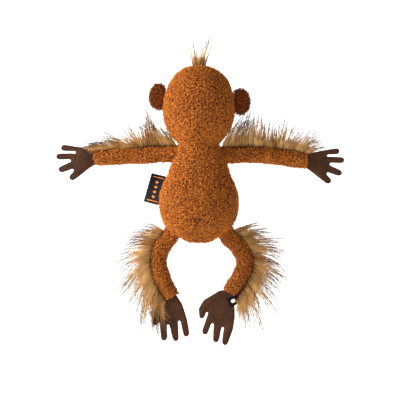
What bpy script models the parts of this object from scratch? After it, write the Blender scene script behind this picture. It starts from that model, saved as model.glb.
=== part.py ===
"""Stuffed monkey: a sewn plush toy in separate pieces, with a pivot wherever its limp cloth bends.

The toy is upright with its arms and legs spread, its back towards -Y and its face towards +Y.
The origin is on the flat seat under the torso. Lengths below are in millimetres.
Names with left are on the -X side, and names with right are on the +X side.
"""

import math

import bmesh
import bpy
from mathutils import Vector

MM = 0.001

# Cloth and fits
COVER_WALL = 2.0        # pile cloth of the head and torso, backing and seam allowance together
SLEEVE_WALL = 1.5       # pile cloth of the limbs
PIECE_GAP = 0.3         # between pieces that lie against each other
FILL_GAP = 0.5          # between a fill and the cloth round it
ROUND_STEPS = 24        # sides of a section through the head or torso
LIMB_STEPS = 12         # sides of a section through a limb

# Torso: a pear on a small flat seat, which narrows to the neck
SEAT_HALF_WIDTH = 14.0
TORSO_WIDEST = 46.0     # half its greatest width
TORSO_TOP = 109.0
TORSO_DEPTH_RATIO = 0.78
TORSO_SEAM_Y = 6.0
BEAN_BAG_TOP = 31.0

# Head: it stands on a rim just above the neck pivot
NECK_RIM_SPACE = 4.0    # from the neck pivot up to the head's rim, and down to the torso's
NECK_BALL_RADIUS = 10.0
HEAD_HEIGHT = 91.0
HEAD_WIDEST = 41.2      # half its greatest width
HEAD_DEPTH_RATIO = 0.92
HEAD_SEAM_Y = 2.0

NECK_PIVOT_HEIGHT = TORSO_TOP + NECK_RIM_SPACE
HEAD_RIM = NECK_PIVOT_HEIGHT + NECK_RIM_SPACE

# Face
FACE_WIDTH = 50.0
FACE_HEIGHT = 48.0
FACE_MIDDLE = 47.0      # above the head's rim
FACE_THICKNESS = 1.2
MUZZLE_WIDTH = 36.0
MUZZLE_HEIGHT = 25.0
MUZZLE_MIDDLE = 35.0
MUZZLE_BULGE = 11.0
NOSE_WIDTH = 9.0
NOSE_HEIGHT = 6.0
NOSE_LIFT = 5.5         # above the middle of the muzzle
NOSE_THICKNESS = 1.5
MOUTH_WIDTH = 15.0
MOUTH_HEIGHT = 1.8
MOUTH_DROP = 5.0        # below the middle of the muzzle
EYE_RADIUS = 4.2
EYE_SPACING = 23.0
EYE_MIDDLE = 55.0       # above the head's rim
EYE_STEM_RADIUS = 1.6
EYE_STEM_CLEARANCE = 0.3
WASHER_RADIUS = 5.5
WASHER_THICKNESS = 1.5
STEM_PAST_WASHER = 1.2

# Ears
EAR_WIDTH = 19.0
EAR_HEIGHT = 31.0
EAR_THICKNESS = 6.0
EAR_ROOT_SPACE = 1.8    # from the head's side to the ear's root, so that it can turn
EARS = {"left": 55.0, "right": 49.0}     # height of an ear's middle above the head's rim

# Crown tuft
TUFT_WIDTH = 17.0
TUFT_DEPTH = 10.0
TUFT_HEIGHT = 31.0

# Limbs
LIMB_RADIUS = 8.0
FUR_HEIGHT = 12.0
FUR_HALF_ANGLE = math.radians(35)
FUR_STEPS = 5
MOST_BEND = math.radians(75)     # of an elbow or a knee
BEND_CLEARANCE = 1.4    # between two sleeves' rims, or two fur strips, when bent that far
ROOT_BALL_SPACE = 2.0   # from the torso's side to the ball of the limb's fill
ROOT_RIM_SPACE = 8.0    # from the shoulder or hip pivot to the sleeve's rim
WRIST_RIM_SPACE = 5.0   # from the wrist pivot to the sleeve's rim
ANKLE_RIM_SPACE = 8.5   # from the ankle pivot to the sleeve's rim, which leans over the foot
ARM_FUR_START = 22.0    # from the shoulder pivot to the fur, so that a raised arm clears the head
ARM_Y = 4.0
LEG_Y = 6.0
SHOULDER_DROP = {"left": 5.2, "right": 7.0}      # below the top of the torso
HIP_HEIGHT = 4.0
HIP_LEVEL = 8.2         # the height on the torso's rounded side that lies beside the hip
# Points along a limb from its shoulder or hip, as (outwards, up)
ARMS = {
    "left": {"upper_middle": (22.2, -1.2), "elbow": (45.2, -2.4),
             "lower_middle": (68.2, -3.4), "wrist": (91.8, -4.8)},
    "right": {"upper_middle": (23.2, 0.6), "elbow": (47.2, -0.5),
              "lower_middle": (70.2, -3.4), "wrist": (94.2, -7.2)},
}
LEGS = {
    "left": {"upper_middle": (10.0, -13.0), "knee": (13.6, -31.0),
             "lower_middle": (8.6, -51.6), "ankle": (-3.2, -72.4)},
    "right": {"upper_middle": (13.4, -13.5), "knee": (20.0, -31.0),
              "lower_middle": (13.4, -50.0), "ankle": (2.0, -67.6)},
}

# Hands and feet: flat mitts. Outlines run from the root round the digits, relative to the pivot,
# as (outwards, up) on a hand and (x, up) on a foot. Each digit is (tip, web that follows it).
MITT_THICKNESS = 9.0
TIP_RADIUS = 4.3
TOE_RADIUS = 3.9
THUMB_TOE_RADIUS = 3.2
HAND = {
    "start": ((1.0, 9.4), (10.0, 11.0), (21.0, 13.6)),
    "digits": (((40.0, 12.6), (26.5, 5.4)), ((45.7, 1.0), (33.0, -5.6)),
               ((42.6, -15.6), (26.5, -16.4)), ((28.4, -26.6), None)),
    "end": ((16.0, -22.0), (8.0, -15.0), (1.0, -9.4)),
}
FEET = {
    "left": {
        "start": ((-9.4, -1.0), (-19.0, -9.0), (-26.6, -18.0)),
        "digits": (((-20.6, -34.8), (-17.0, -20.6)), ((-9.8, -53.4), (-7.0, -34.4)),
                   ((4.6, -54.0), (6.4, -31.0)), ((18.0, -48.4), None)),
        "end": ((18.4, -28.0), (14.0, -14.0), (9.0, -1.0)),
    },
    "right": {
        "start": ((-9.0, -1.0), (-20.0, -1.4), (-32.0, -8.6), (-38.2, -19.0)),
        "digits": (((-35.6, -31.0), (-27.2, -18.8)), ((-31.4, -50.6), (-24.0, -37.6)),
                   ((-17.4, -60.4), (-10.2, -43.4)), ((-6.4, -63.6), None)),
        "end": ((4.6, -44.0), (6.6, -30.0), (6.0, -14.0), (9.4, -1.0)),
    },
}

# Labels
TAG_HEIGHT = 36.0       # along the torso's side seam
TAG_WIDTH = 23.0        # out from the seam
TAG_THICKNESS = 1.2
TAG_TOP = 77.0
TAG_TURN = math.radians(40)      # how far it leans towards the front
TAG_SPACE = 1.2         # from the torso's cloth to the tag's root
LABEL_WIDTH = 12.5
LABEL_LENGTH = 10.5
LABEL_THICKNESS = 0.8
LABEL_TURN = math.radians(22)
LABEL_PLACE = (1.8, -4.6)        # its fold, from the right ankle pivot

COLOURS = {
    "pile": (0.46, 0.15, 0.035), "suede": (0.10, 0.05, 0.03), "ear": (0.16, 0.035, 0.010),
    "fur": (0.62, 0.40, 0.20), "fill": (0.80, 0.78, 0.74), "bean": (0.55, 0.50, 0.42),
    "black": (0.012, 0.012, 0.014), "face": (0.16, 0.09, 0.055),
}


# ---------------------------------------------------------------- outlines

def spline(points, steps):
    """Points along a smooth curve through the given ones, `steps` to each stretch between two."""
    points = [Vector(point) for point in points]
    padded = [2 * points[0] - points[1], *points, 2 * points[-1] - points[-2]]
    found = [points[0]]
    for k in range(1, len(padded) - 2):
        before, start, end, after = padded[k - 1:k + 3]
        for step in range(1, steps + 1):
            t = step / steps
            leave = (end - before) / 2
            arrive = (after - start) / 2
            found.append(
                start * (2 * t**3 - 3 * t**2 + 1) + leave * (t**3 - 2 * t**2 + t)
                + end * (3 * t**2 - 2 * t**3) + arrive * (t**3 - t**2)
            )
    return found


class Form:
    """A stuffed bag with elliptical sections, from its outline of (half width, height) points."""

    def __init__(self, outline, depth_ratio, middle_y):
        self.outline = [Vector(point) for point in outline]
        self.depth_ratio = depth_ratio
        self.middle_y = middle_y

    def inset(self, amount):
        """The same form made smaller by `amount` all round."""
        moved = []
        last = len(self.outline) - 1
        for k, point in enumerate(self.outline):
            along = self.outline[min(k + 1, last)] - self.outline[max(k - 1, 0)]
            out = Vector((along.y, -along.x)).normalized()
            moved.append(Vector((max(0.0, point.x - amount * out.x), point.y - amount * out.y)))
        return Form(moved, self.depth_ratio, self.middle_y)

    def between(self, low, high):
        """The part of this form between two heights, with flat ends."""
        kept = [Vector((self.half_width(low), low))]
        kept += [point for point in self.outline if low + 1.0 < point.y < high - 1.0]
        kept.append(Vector((self.half_width(high), high)))
        return Form(kept, self.depth_ratio, self.middle_y)

    def half_width(self, height):
        for low, high in zip(self.outline, self.outline[1:]):
            if low.y <= height <= high.y:
                share = (height - low.y) / max(high.y - low.y, 1e-6)
                return low.x + (high.x - low.x) * share
        return 0.0

    def front_y(self, x, height):
        """The y of the front surface at x and a height."""
        width = self.half_width(height)
        return self.middle_y + self.depth_ratio * math.sqrt(max(width * width - x * x, 0.0))

    def rings(self, steps=ROUND_STEPS):
        found = []
        for half_width, height in self.outline:
            if half_width < 0.01:
                found.append([Vector((0.0, self.middle_y, height))])
                continue
            found.append([
                Vector((half_width * math.cos(a),
                        self.middle_y + half_width * self.depth_ratio * math.sin(a), height))
                for a in (2 * math.pi * k / steps for k in range(steps))
            ])
        return found


def torso_form():
    """Shares of the greatest half width, at shares of the torso's height."""
    shares = ((0.52, 0.055), (0.81, 0.147), (0.95, 0.257), (1.0, 0.367), (0.975, 0.477),
              (0.91, 0.587), (0.775, 0.734), (0.64, 0.88), (0.54, 1.0))
    outline = [(SEAT_HALF_WIDTH, 0.0)]
    outline += [(share * TORSO_WIDEST, up * TORSO_TOP) for share, up in shares]
    return Form(spline(outline, 2), TORSO_DEPTH_RATIO, 0.0)


def head_form():
    """The head stands on its rim, and its heights follow its own height."""
    shares = ((0.55, 0.0), (0.68, 0.055), (0.83, 0.14), (0.94, 0.25), (1.0, 0.41), (0.975, 0.59),
              (0.84, 0.77), (0.62, 0.90), (0.33, 0.975), (0.0, 1.0))
    outline = [(share * HEAD_WIDEST, HEAD_RIM + up * HEAD_HEIGHT) for share, up in shares]
    return Form(spline(outline, 2), HEAD_DEPTH_RATIO, HEAD_SEAM_Y)


# ---------------------------------------------------------------- meshes

def material_for(name, colour, roughness=0.85):
    made = bpy.data.materials.new(name)
    made.use_nodes = True
    shader = made.node_tree.nodes["Principled BSDF"]
    shader.inputs["Base Color"].default_value = (*COLOURS[colour], 1.0)
    shader.inputs["Roughness"].default_value = roughness
    shader.inputs["Metallic"].default_value = 0.0
    return made


def pivot_frame(name, place, parent=None):
    """An empty on a joint's axis, which carries the pieces that turn there."""
    frame = bpy.data.objects.new(name, None)
    bpy.context.scene.collection.objects.link(frame)
    frame.empty_display_size = 0.01
    frame["place"] = place
    frame.parent = parent
    start = Vector(parent["place"]) if parent else Vector()
    frame.location = (Vector(place) - start) * MM
    return frame


def piece(name, mesh, frame, colour, roughness=0.85):
    """An object from a bmesh in the toy's millimetres, with its origin on its pivot."""
    bmesh.ops.recalc_face_normals(mesh, faces=mesh.faces)
    for vertex in mesh.verts:
        vertex.co = (vertex.co - Vector(frame["place"])) * MM
    data = bpy.data.meshes.new(name)
    mesh.to_mesh(data)
    mesh.free()
    data.shade_smooth()
    data.set_sharp_from_angle(angle=math.radians(40))
    made = bpy.data.objects.new(name, data)
    bpy.context.scene.collection.objects.link(made)
    made.parent = frame
    made.data.materials.append(material_for(name, colour, roughness))
    return made


def skin_rows(mesh, rows, closed=False):
    """Faces between each row of points and the next. A row of one point is a pole."""
    made = [[mesh.verts.new(point) for point in row] for row in rows]
    pairs = list(zip(made, made[1:]))
    if closed:
        pairs.append((made[-1], made[0]))
    for low, high in pairs:
        count = max(len(low), len(high))
        for k in range(count):
            after = (k + 1) % count
            if len(low) == 1:
                mesh.faces.new((low[0], high[after], high[k]))
            elif len(high) == 1:
                mesh.faces.new((low[k], low[after], high[0]))
            else:
                mesh.faces.new((low[k], low[after], high[after], high[k]))
    return made


def closed_rows(rows):
    """A closed body through rows of points, with a flat face on each end that is no pole."""
    mesh = bmesh.new()
    made = skin_rows(mesh, rows)
    for row in (made[0], made[-1]):
        if len(row) > 1:
            mesh.faces.new(row)
    return mesh


def half_cover(form, wall, seam_y, side):
    """The front (side 1) or back (side -1) half of a hollow cover that is open at the neck."""
    outer, inner = form.rings(), form.inset(wall).rings()
    open_at_top = len(outer[-1]) > 1
    if not open_at_top:
        outer.reverse()
        inner.reverse()
    mesh = bmesh.new()
    made = skin_rows(mesh, outer + inner[::-1])
    for row in (made[0], made[-1]):
        if len(row) > 1:
            mesh.faces.new(row)
    bmesh.ops.recalc_face_normals(mesh, faces=mesh.faces)
    cut = bmesh.ops.bisect_plane(
        mesh, geom=[*mesh.verts, *mesh.edges, *mesh.faces], dist=1e-5,
        plane_co=(0, seam_y + side * PIECE_GAP / 2, 0), plane_no=(0, -side, 0), clear_outer=True)
    edges = [item for item in cut["geom_cut"] if isinstance(item, bmesh.types.BMEdge)]
    bmesh.ops.edgeloop_fill(mesh, edges=edges)
    return mesh


def face_patch(form, middle, width, height, lift, thickness_at, rings=5, steps=20):
    """A piece that lies on the front of a form: `lift` above it, and as thick as told at a radius."""
    def point(share, turn, extra):
        x = middle[0] + width / 2 * share * math.cos(turn)
        z = middle[1] + height / 2 * share * math.sin(turn)
        return Vector((x, form.front_y(x, z) + lift(x, z) + extra, z))

    turns = [2 * math.pi * k / steps for k in range(steps)]
    shares = [k / rings for k in range(rings + 1)]
    inner = [[point(s, a, 0.0) for a in turns] if s else [point(0, 0, 0.0)] for s in shares]
    outer = [[point(s, a, thickness_at(s)) for a in turns] if s else [point(0, 0, thickness_at(0))]
             for s in shares]
    return closed_rows(inner + outer[::-1])


def ring_y(radius, y, middle, steps):
    """A ring of points round the Y direction."""
    return [Vector((middle[0] + radius * math.cos(a), y, middle[1] + radius * math.sin(a)))
            for a in (2 * math.pi * k / steps for k in range(steps))]


def cylinder_y(radius, low, high, middle, steps=16):
    return closed_rows([ring_y(radius, low, middle, steps), ring_y(radius, high, middle, steps)])


def cut_away(target, name, mesh):
    """Takes a hidden cutter's shape out of a piece."""
    cutter = piece(name, mesh, target.parent, "fill")
    cutter.hide_render = True
    cutter.display_type = "WIRE"
    modifier = target.modifiers.new(name, "BOOLEAN")
    modifier.operation = "DIFFERENCE"
    modifier.solver = "EXACT"
    modifier.object = cutter


class Run:
    """A stretch of limb between two pivots, bowed through a middle point, in a plane of equal y."""

    def __init__(self, start, middle, end, y, side):
        self.start, self.end = Vector((start[0], y, start[1])), Vector((end[0], y, end[1]))
        middle = Vector((middle[0], y, middle[1]))
        self.bow = 2 * middle - (self.start + self.end) / 2
        self.side = side
        self.length = (middle - self.start).length + (self.end - middle).length

    def at(self, distance):
        """The axis point at a distance from the start, and the two directions across it."""
        t = distance / self.length
        point = self.start * (1 - t)**2 + self.bow * 2 * t * (1 - t) + self.end * t**2
        along = ((self.bow - self.start) * (1 - t) + (self.end - self.bow) * t).normalized()
        outwards = Vector((-along.z, 0, along.x)) * self.side
        return point, along, outwards

    def ring(self, distance, radius, steps=LIMB_STEPS):
        point, _, outwards = self.at(distance)
        return [point + radius * (outwards * math.cos(a) + Vector((0, 1, 0)) * math.sin(a))
                for a in (2 * math.pi * k / steps for k in range(steps))]


def sleeve_mesh(run, low, high):
    """A tube of cloth round a limb, open at both ends."""
    places = [low + (high - low) * k / 3 for k in range(4)]
    rows = [run.ring(d, LIMB_RADIUS) for d in places]
    rows += [run.ring(d, LIMB_RADIUS - SLEEVE_WALL) for d in reversed(places)]
    mesh = bmesh.new()
    skin_rows(mesh, rows, closed=True)
    return mesh


def fill_radius():
    return LIMB_RADIUS - SLEEVE_WALL - FILL_GAP


def limb_fill_mesh(run, end_space):
    """A fill with a ball on its first pivot and a round end, `end_space` before the last one."""
    radius, steps = fill_radius(), 10
    last = run.length - end_space - radius
    turns = [math.radians(30 * k) for k in range(1, 4)]
    point, along, _ = run.at(0)
    rows = [[point - along * radius]]
    for turn in turns:
        offset = -along * radius * math.cos(turn)
        rows.append([p + offset for p in run.ring(0, radius * math.sin(turn), steps)])
    rows += [run.ring(last * share, radius, steps) for share in (0.35, 0.7)]
    point, along, _ = run.at(last)
    for turn in reversed(turns):
        offset = along * radius * math.cos(turn)
        rows.append([p + offset for p in run.ring(last, radius * math.sin(turn), steps)])
    rows.append([point + along * radius])
    return closed_rows(rows)


def fur_mesh(run, low, high):
    """The long fur of a limb as one raised strip, lower at its two ends."""
    rows = []
    for k in range(FUR_STEPS + 1):
        share = k / FUR_STEPS
        point, _, outwards = run.at(low + (high - low) * share)
        inner = LIMB_RADIUS + PIECE_GAP
        outer = inner + FUR_HEIGHT * (0.45 + 0.55 * math.sin(math.pi * share))
        turns = [FUR_HALF_ANGLE * (2 * j / 4 - 1) for j in range(5)]
        arc = [(inner, turn) for turn in turns] + [(outer, turn) for turn in reversed(turns)]
        rows.append([point + radius * (outwards * math.cos(a) + Vector((0, 1, 0)) * math.sin(a))
                     for radius, a in arc])
    return closed_rows(rows)


def tip_arc(before, tip, after, radius):
    """The round end of a digit, from the side of the web before it to the one after it."""
    tip, root = Vector(tip), (Vector(before) + Vector(after)) / 2
    along = (tip - root).normalized()
    across = Vector((-along.y, along.x))
    if (Vector(before) - root).dot(across) < 0:
        across = -across
    middle = tip - along * radius
    return [middle + radius * (across * math.cos(a) + along * math.sin(a))
            for a in (math.pi * k / 6 for k in range(7))]


def mitt_outline(shape, radii):
    """The outline of a hand or foot from its root, round its digits and back."""
    outline = [Vector(point) for point in shape["start"]]
    before = shape["start"][-1]
    for (tip, web), radius in zip(shape["digits"], radii):
        after = web or shape["end"][0]
        outline += tip_arc(before, tip, after, radius)
        if web:
            outline.append(Vector(web))
            before = web
    return outline + [Vector(point) for point in shape["end"]]


def slab_mesh(outline, low, high, place):
    """A flat plate from an outline in X and Z, between two values of y, moved to a place."""
    mesh = bmesh.new()
    verts = [mesh.verts.new((p.x + place[0], low, p.y + place[1])) for p in outline]
    face = mesh.faces.new(verts)
    moved = bmesh.ops.extrude_face_region(mesh, geom=[face])["geom"]
    for vertex in moved:
        if isinstance(vertex, bmesh.types.BMVert):
            vertex.co.y = high
    return mesh


# ---------------------------------------------------------------- pieces

def build_torso(root):
    form = torso_form()
    for name, side in (("torso_back_cover", -1), ("torso_front_cover", 1)):
        piece(name, half_cover(form, COVER_WALL, TORSO_SEAM_Y, side), root, "pile")
    inside = form.inset(COVER_WALL + FILL_GAP)
    top = NECK_PIVOT_HEIGHT - NECK_BALL_RADIUS - FILL_GAP
    fill = inside.between(BEAN_BAG_TOP + FILL_GAP, top)
    piece("torso_fill", closed_rows(fill.rings(16)), root, "fill")
    bag = inside.between(COVER_WALL + FILL_GAP, BEAN_BAG_TOP)
    piece("bean_bag", closed_rows(bag.rings(16)), root, "bean")


def build_head(frame):
    form = head_form()
    piece("head_back_cover", half_cover(form, COVER_WALL, HEAD_SEAM_Y, -1), frame, "pile")
    front = piece("head_front_cover", half_cover(form, COVER_WALL, HEAD_SEAM_Y, 1), frame, "pile")
    fill = piece("head_fill", head_fill_mesh(form), frame, "fill")
    build_face(form, front, fill, frame)
    build_tuft(frame)


def head_fill_mesh(form):
    """The head's fill, with a ball on the neck pivot that reaches down into the torso."""
    inside = form.inset(COVER_WALL + FILL_GAP)
    ball = [(NECK_BALL_RADIUS * math.sin(a), NECK_PIVOT_HEIGHT - NECK_BALL_RADIUS * math.cos(a))
            for a in (math.radians(22.5 * k) for k in range(5))]
    upper = [point for point in inside.outline if point.y > HEAD_RIM + NECK_RIM_SPACE]
    whole = Form([*ball, *upper], HEAD_DEPTH_RATIO, HEAD_SEAM_Y)
    rings = whole.rings(16)
    for row, (radius, _) in zip(rings, ball):
        # The ball itself is round and centred on the pivot.
        for point in row:
            point.y = (point.y - HEAD_SEAM_Y) / HEAD_DEPTH_RATIO if radius > 0.01 else 0.0
    return closed_rows(rings)


def build_face(form, front, fill, frame):
    """The suede face with its muzzle, nose, mouth line and two shank eyes."""
    gap = 0.5
    panel_middle = (0.0, HEAD_RIM + FACE_MIDDLE)
    muzzle_middle = (0.0, HEAD_RIM + MUZZLE_MIDDLE)
    panel_lift = gap + FACE_THICKNESS
    panel = piece(
        "face_panel",
        face_patch(form, panel_middle, FACE_WIDTH, FACE_HEIGHT, lambda x, z: gap,
                   lambda share: FACE_THICKNESS, rings=4),
        frame, "face")

    def bulge(share):
        return 0.8 + MUZZLE_BULGE * math.sqrt(max(1 - share * share, 0.0))

    def on_muzzle(x, z):
        share = math.hypot((x - muzzle_middle[0]) / (MUZZLE_WIDTH / 2),
                           (z - muzzle_middle[1]) / (MUZZLE_HEIGHT / 2))
        return panel_lift + gap + bulge(min(share, 1.0)) + gap

    piece("muzzle", face_patch(form, muzzle_middle, MUZZLE_WIDTH, MUZZLE_HEIGHT,
                               lambda x, z: panel_lift + gap, bulge),
          frame, "face")
    nose_middle = (0.0, muzzle_middle[1] + NOSE_LIFT)
    piece("nose", face_patch(form, nose_middle, NOSE_WIDTH, NOSE_HEIGHT, on_muzzle,
                             lambda share: 0.4 + NOSE_THICKNESS * math.sqrt(1 - share * share),
                             rings=2, steps=12), frame, "black", 0.5)
    mouth_middle = (0.0, muzzle_middle[1] - MOUTH_DROP)
    piece("mouth", face_patch(form, mouth_middle, MOUTH_WIDTH, MOUTH_HEIGHT, on_muzzle,
                              lambda share: 0.9, rings=2, steps=12), frame, "black", 0.7)
    for name, side in (("left", -1), ("right", 1)):
        middle = (side * EYE_SPACING / 2, HEAD_RIM + EYE_MIDDLE)
        build_eye(name, form, middle, panel_lift, panel, front, fill, frame)


def build_eye(name, form, middle, panel_lift, panel, front, fill, frame):
    """A shank eye: a dome on the face, its stem through the cloth, and a washer behind it."""
    rim = ring_y(EYE_RADIUS, 0.0, middle, 16)
    seat = max(form.front_y(p.x, p.z) for p in rim) + panel_lift + PIECE_GAP + 0.2
    behind = ring_y(WASHER_RADIUS, 0.0, middle, 16)
    inside = form.inset(COVER_WALL)
    washer_front = min(inside.front_y(p.x, p.z) for p in behind) - PIECE_GAP
    washer_back = washer_front - WASHER_THICKNESS
    stem_end = washer_back - STEM_PAST_WASHER
    turns = [math.radians(22.5 * k) for k in range(4)]
    rows = [ring_y(EYE_STEM_RADIUS, stem_end, middle, 16), ring_y(EYE_STEM_RADIUS, seat, middle, 16)]
    rows += [ring_y(EYE_RADIUS * math.cos(a), seat + EYE_RADIUS * 0.8 * math.sin(a), middle, 16)
             for a in turns]
    rows.append([Vector((middle[0], seat + EYE_RADIUS * 0.8, middle[1]))])
    piece(f"{name}_eye", closed_rows(rows), frame, "black", 0.1)
    hole = EYE_STEM_RADIUS + EYE_STEM_CLEARANCE
    washer = bmesh.new()
    skin_rows(washer, [ring_y(WASHER_RADIUS, washer_back, middle, 16),
                       ring_y(WASHER_RADIUS, washer_front, middle, 16),
                       ring_y(hole, washer_front, middle, 16),
                       ring_y(hole, washer_back, middle, 16)], closed=True)
    piece(f"{name}_eye_washer", washer, frame, "black", 0.4)
    for target, label in ((panel, "face"), (front, "cover")):
        cut_away(target, f"{name}_eye_hole_{label}", cylinder_y(hole, stem_end, seat + 3, middle))
    cut_away(fill, f"{name}_eye_pocket",
             cylinder_y(WASHER_RADIUS + FILL_GAP, stem_end - FILL_GAP, seat, middle))


def build_tuft(frame):
    """The fur on the crown as one upright spindle."""
    low = HEAD_RIM + HEAD_HEIGHT + PIECE_GAP + 0.1
    shares = ((0.75, 0.0), (0.95, 0.25), (1.0, 0.5), (0.75, 0.8), (0.35, 1.0))
    outline = [(share * TUFT_WIDTH / 2, low + up * TUFT_HEIGHT) for share, up in shares]
    form = Form(outline, TUFT_DEPTH / TUFT_WIDTH, HEAD_SEAM_Y)
    piece("crown_tuft", closed_rows(form.rings(12)), frame, "fur")


def ear_place(side_name, side):
    """The pivot of an ear: beside the head's cover, at the ear's height."""
    height = HEAD_RIM + EARS[side_name]
    widest = max(head_form().half_width(height + d) for d in (-EAR_HEIGHT / 2, 0, EAR_HEIGHT / 2))
    return (side * (widest + EAR_ROOT_SPACE), HEAD_SEAM_Y, height)


def ear_outline(side):
    """A round ear whose inner edge is cut straight where it is sewn on."""
    half_width = EAR_WIDTH * 0.6
    half_height = EAR_HEIGHT / 2
    cut = math.acos(-(EAR_WIDTH - half_width) / half_width)
    turns = [cut - 2 * cut * k / 18 for k in range(19)]
    return [Vector((side * (EAR_WIDTH - half_width + half_width * math.cos(a)),
                    half_height * math.sin(a))) for a in turns]


def build_ear(side_name, side, head_frame):
    place = ear_place(side_name, side)
    frame = pivot_frame(f"{side_name}_ear_pivot", place, head_frame)
    outline = ear_outline(side)
    middle, half = place[1], EAR_THICKNESS / 2
    for name, low, high in (("back", middle - half, middle - PIECE_GAP / 2),
                            ("lining", middle + PIECE_GAP / 2, middle + half)):
        piece(f"{side_name}_ear_{name}", slab_mesh(outline, low, high, (place[0], place[2])),
              frame, "ear")


def build_limb_part(name, run, frame, sleeve, fur, fill_end):
    """The sleeve, fill and fur of one stretch of a limb."""
    piece(f"{name}_sleeve", sleeve_mesh(run, *sleeve), frame, "pile")
    piece(f"{name}_fill", limb_fill_mesh(run, fill_end), frame, "fill")
    piece(f"{name}_fur", fur_mesh(run, *fur), frame, "fur")


def bend_space(reach):
    """From a bend's pivot to what ends there: two such pieces `reach` off the axis just clear."""
    return reach * math.tan(MOST_BEND / 2) + BEND_CLEARANCE


def limb_root(height, level, y, side):
    """The pivot of a shoulder or hip, clear of the torso's side at a level."""
    x = torso_form().half_width(level) + fill_radius() + ROOT_BALL_SPACE
    return (side * x, y, height)


def limb_runs(points, root, side):
    """The two stretches of a limb, from its root and its (outwards, up) points."""
    place = {name: (root[0] + side * out, root[2] + up) for name, (out, up) in points.items()}
    bend, end = ("elbow", "wrist") if "wrist" in points else ("knee", "ankle")
    upper = Run((root[0], root[2]), place["upper_middle"], place[bend], root[1], side)
    lower = Run(place[bend], place["lower_middle"], place[end], root[1], side)
    return upper, lower


def build_limb(upper, lower, upper_run, lower_run, root, fur_start, end_space):
    """Both stretches of a limb, from the torso to the wrist or ankle. Gives the last frame."""
    bend_fill = fill_radius() + FILL_GAP
    bend_rim = bend_space(LIMB_RADIUS)
    bend_fur = bend_space((LIMB_RADIUS + FUR_HEIGHT) * math.sin(FUR_HALF_ANGLE))
    frame = pivot_frame(f"{upper}_pivot", tuple(upper_run.start), root)
    build_limb_part(upper, upper_run, frame,
                    (ROOT_RIM_SPACE, upper_run.length - bend_rim),
                    (fur_start, upper_run.length - bend_fur), bend_fill)
    frame = pivot_frame(f"{lower}_pivot", tuple(lower_run.start), frame)
    build_limb_part(lower, lower_run, frame,
                    (bend_rim, lower_run.length - end_space),
                    (bend_fur, lower_run.length - end_space), end_space)
    return frame


def build_mitt(name, outer, inner, outline, pivot, frame):
    """A hand or foot: two suede panels face to face."""
    frame = pivot_frame(f"{name}_pivot", pivot, frame)
    y, half = pivot[1], MITT_THICKNESS / 2
    place = (pivot[0], pivot[2])
    piece(outer, slab_mesh(outline, y - half, y - PIECE_GAP / 2, place), frame, "suede")
    piece(inner, slab_mesh(outline, y + PIECE_GAP / 2, y + half, place), frame, "suede")
    return frame


def build_arm(side_name, side, root):
    height = TORSO_TOP - SHOULDER_DROP[side_name]
    shoulder = limb_root(height, height, ARM_Y, side)
    upper, lower = limb_runs(ARMS[side_name], shoulder, side)
    frame = build_limb(f"{side_name}_upper_arm", f"{side_name}_forearm", upper, lower, root,
                       ARM_FUR_START, WRIST_RIM_SPACE)
    outline = [Vector((side * p.x, p.y)) for p in mitt_outline(HAND, [TIP_RADIUS] * 4)]
    build_mitt(f"{side_name}_hand", f"{side_name}_hand_back", f"{side_name}_hand_palm", outline,
               tuple(lower.end), frame)


def build_leg(side_name, side, root):
    hip = limb_root(HIP_HEIGHT, HIP_LEVEL, LEG_Y, side)
    upper, lower = limb_runs(LEGS[side_name], hip, side)
    frame = build_limb(f"{side_name}_thigh", f"{side_name}_shin", upper, lower, root,
                       ROOT_RIM_SPACE, ANKLE_RIM_SPACE)
    radii = [THUMB_TOE_RADIUS, TOE_RADIUS, TOE_RADIUS, TOE_RADIUS]
    outline = mitt_outline(FEET[side_name], radii)
    return build_mitt(f"{side_name}_foot", f"{side_name}_foot_top", f"{side_name}_foot_sole",
                      outline, tuple(lower.end), frame)


def build_tag(root):
    """A folded ribbon tag, sewn along the torso's left side seam and leaning to the front."""
    form = torso_form()
    heights = (TAG_TOP, TAG_TOP - TAG_HEIGHT)
    high, low = (form.half_width(z) for z in heights)
    bulge = max(form.half_width(TAG_TOP - TAG_HEIGHT * k / 8) - high + (high - low) * k / 8
                for k in range(9))
    ends = [Vector((-width - bulge - TAG_SPACE, TORSO_SEAM_Y, z))
            for width, z in zip((high, low), heights)]
    frame = pivot_frame("hang_tag_pivot", tuple((ends[0] + ends[1]) / 2), root)
    seam = (ends[1] - ends[0]).normalized()
    out = Vector((seam.z, 0, -seam.x))
    across = out * math.cos(TAG_TURN) + Vector((0, 1, 0)) * math.sin(TAG_TURN)
    thick = seam.cross(across).normalized() * TAG_THICKNESS / 2
    rows = []
    for end in ends:
        rows.append([end + thick, end + across * TAG_WIDTH + thick,
                     end + across * TAG_WIDTH - thick, end - thick])
    piece("hang_tag", closed_rows(rows), frame, "black", 0.6)


def build_ankle_label(foot_frame):
    """A small folded label sewn in at the right ankle, lying on the back of the foot."""
    ankle = Vector(foot_frame["place"])
    y = ankle.y - MITT_THICKNESS / 2 - PIECE_GAP - LABEL_THICKNESS
    fold = Vector((ankle.x + LABEL_PLACE[0], y, ankle.z + LABEL_PLACE[1]))
    frame = pivot_frame("ankle_label_pivot", tuple(fold), foot_frame)
    across = Vector((math.cos(LABEL_TURN), math.sin(LABEL_TURN)))
    down = Vector((across.y, -across.x))
    outline = [across * (LABEL_WIDTH * u) + down * (LABEL_LENGTH * v)
               for u, v in ((-0.5, 0.0), (0.5, 0.0), (0.5, 1.0), (-0.5, 1.0))]
    piece("ankle_label", slab_mesh(outline, y, y + LABEL_THICKNESS, (fold.x, fold.z)), frame,
          "black", 0.6)


def clear_scene():
    for old in list(bpy.data.objects):
        bpy.data.objects.remove(old, do_unlink=True)


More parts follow.
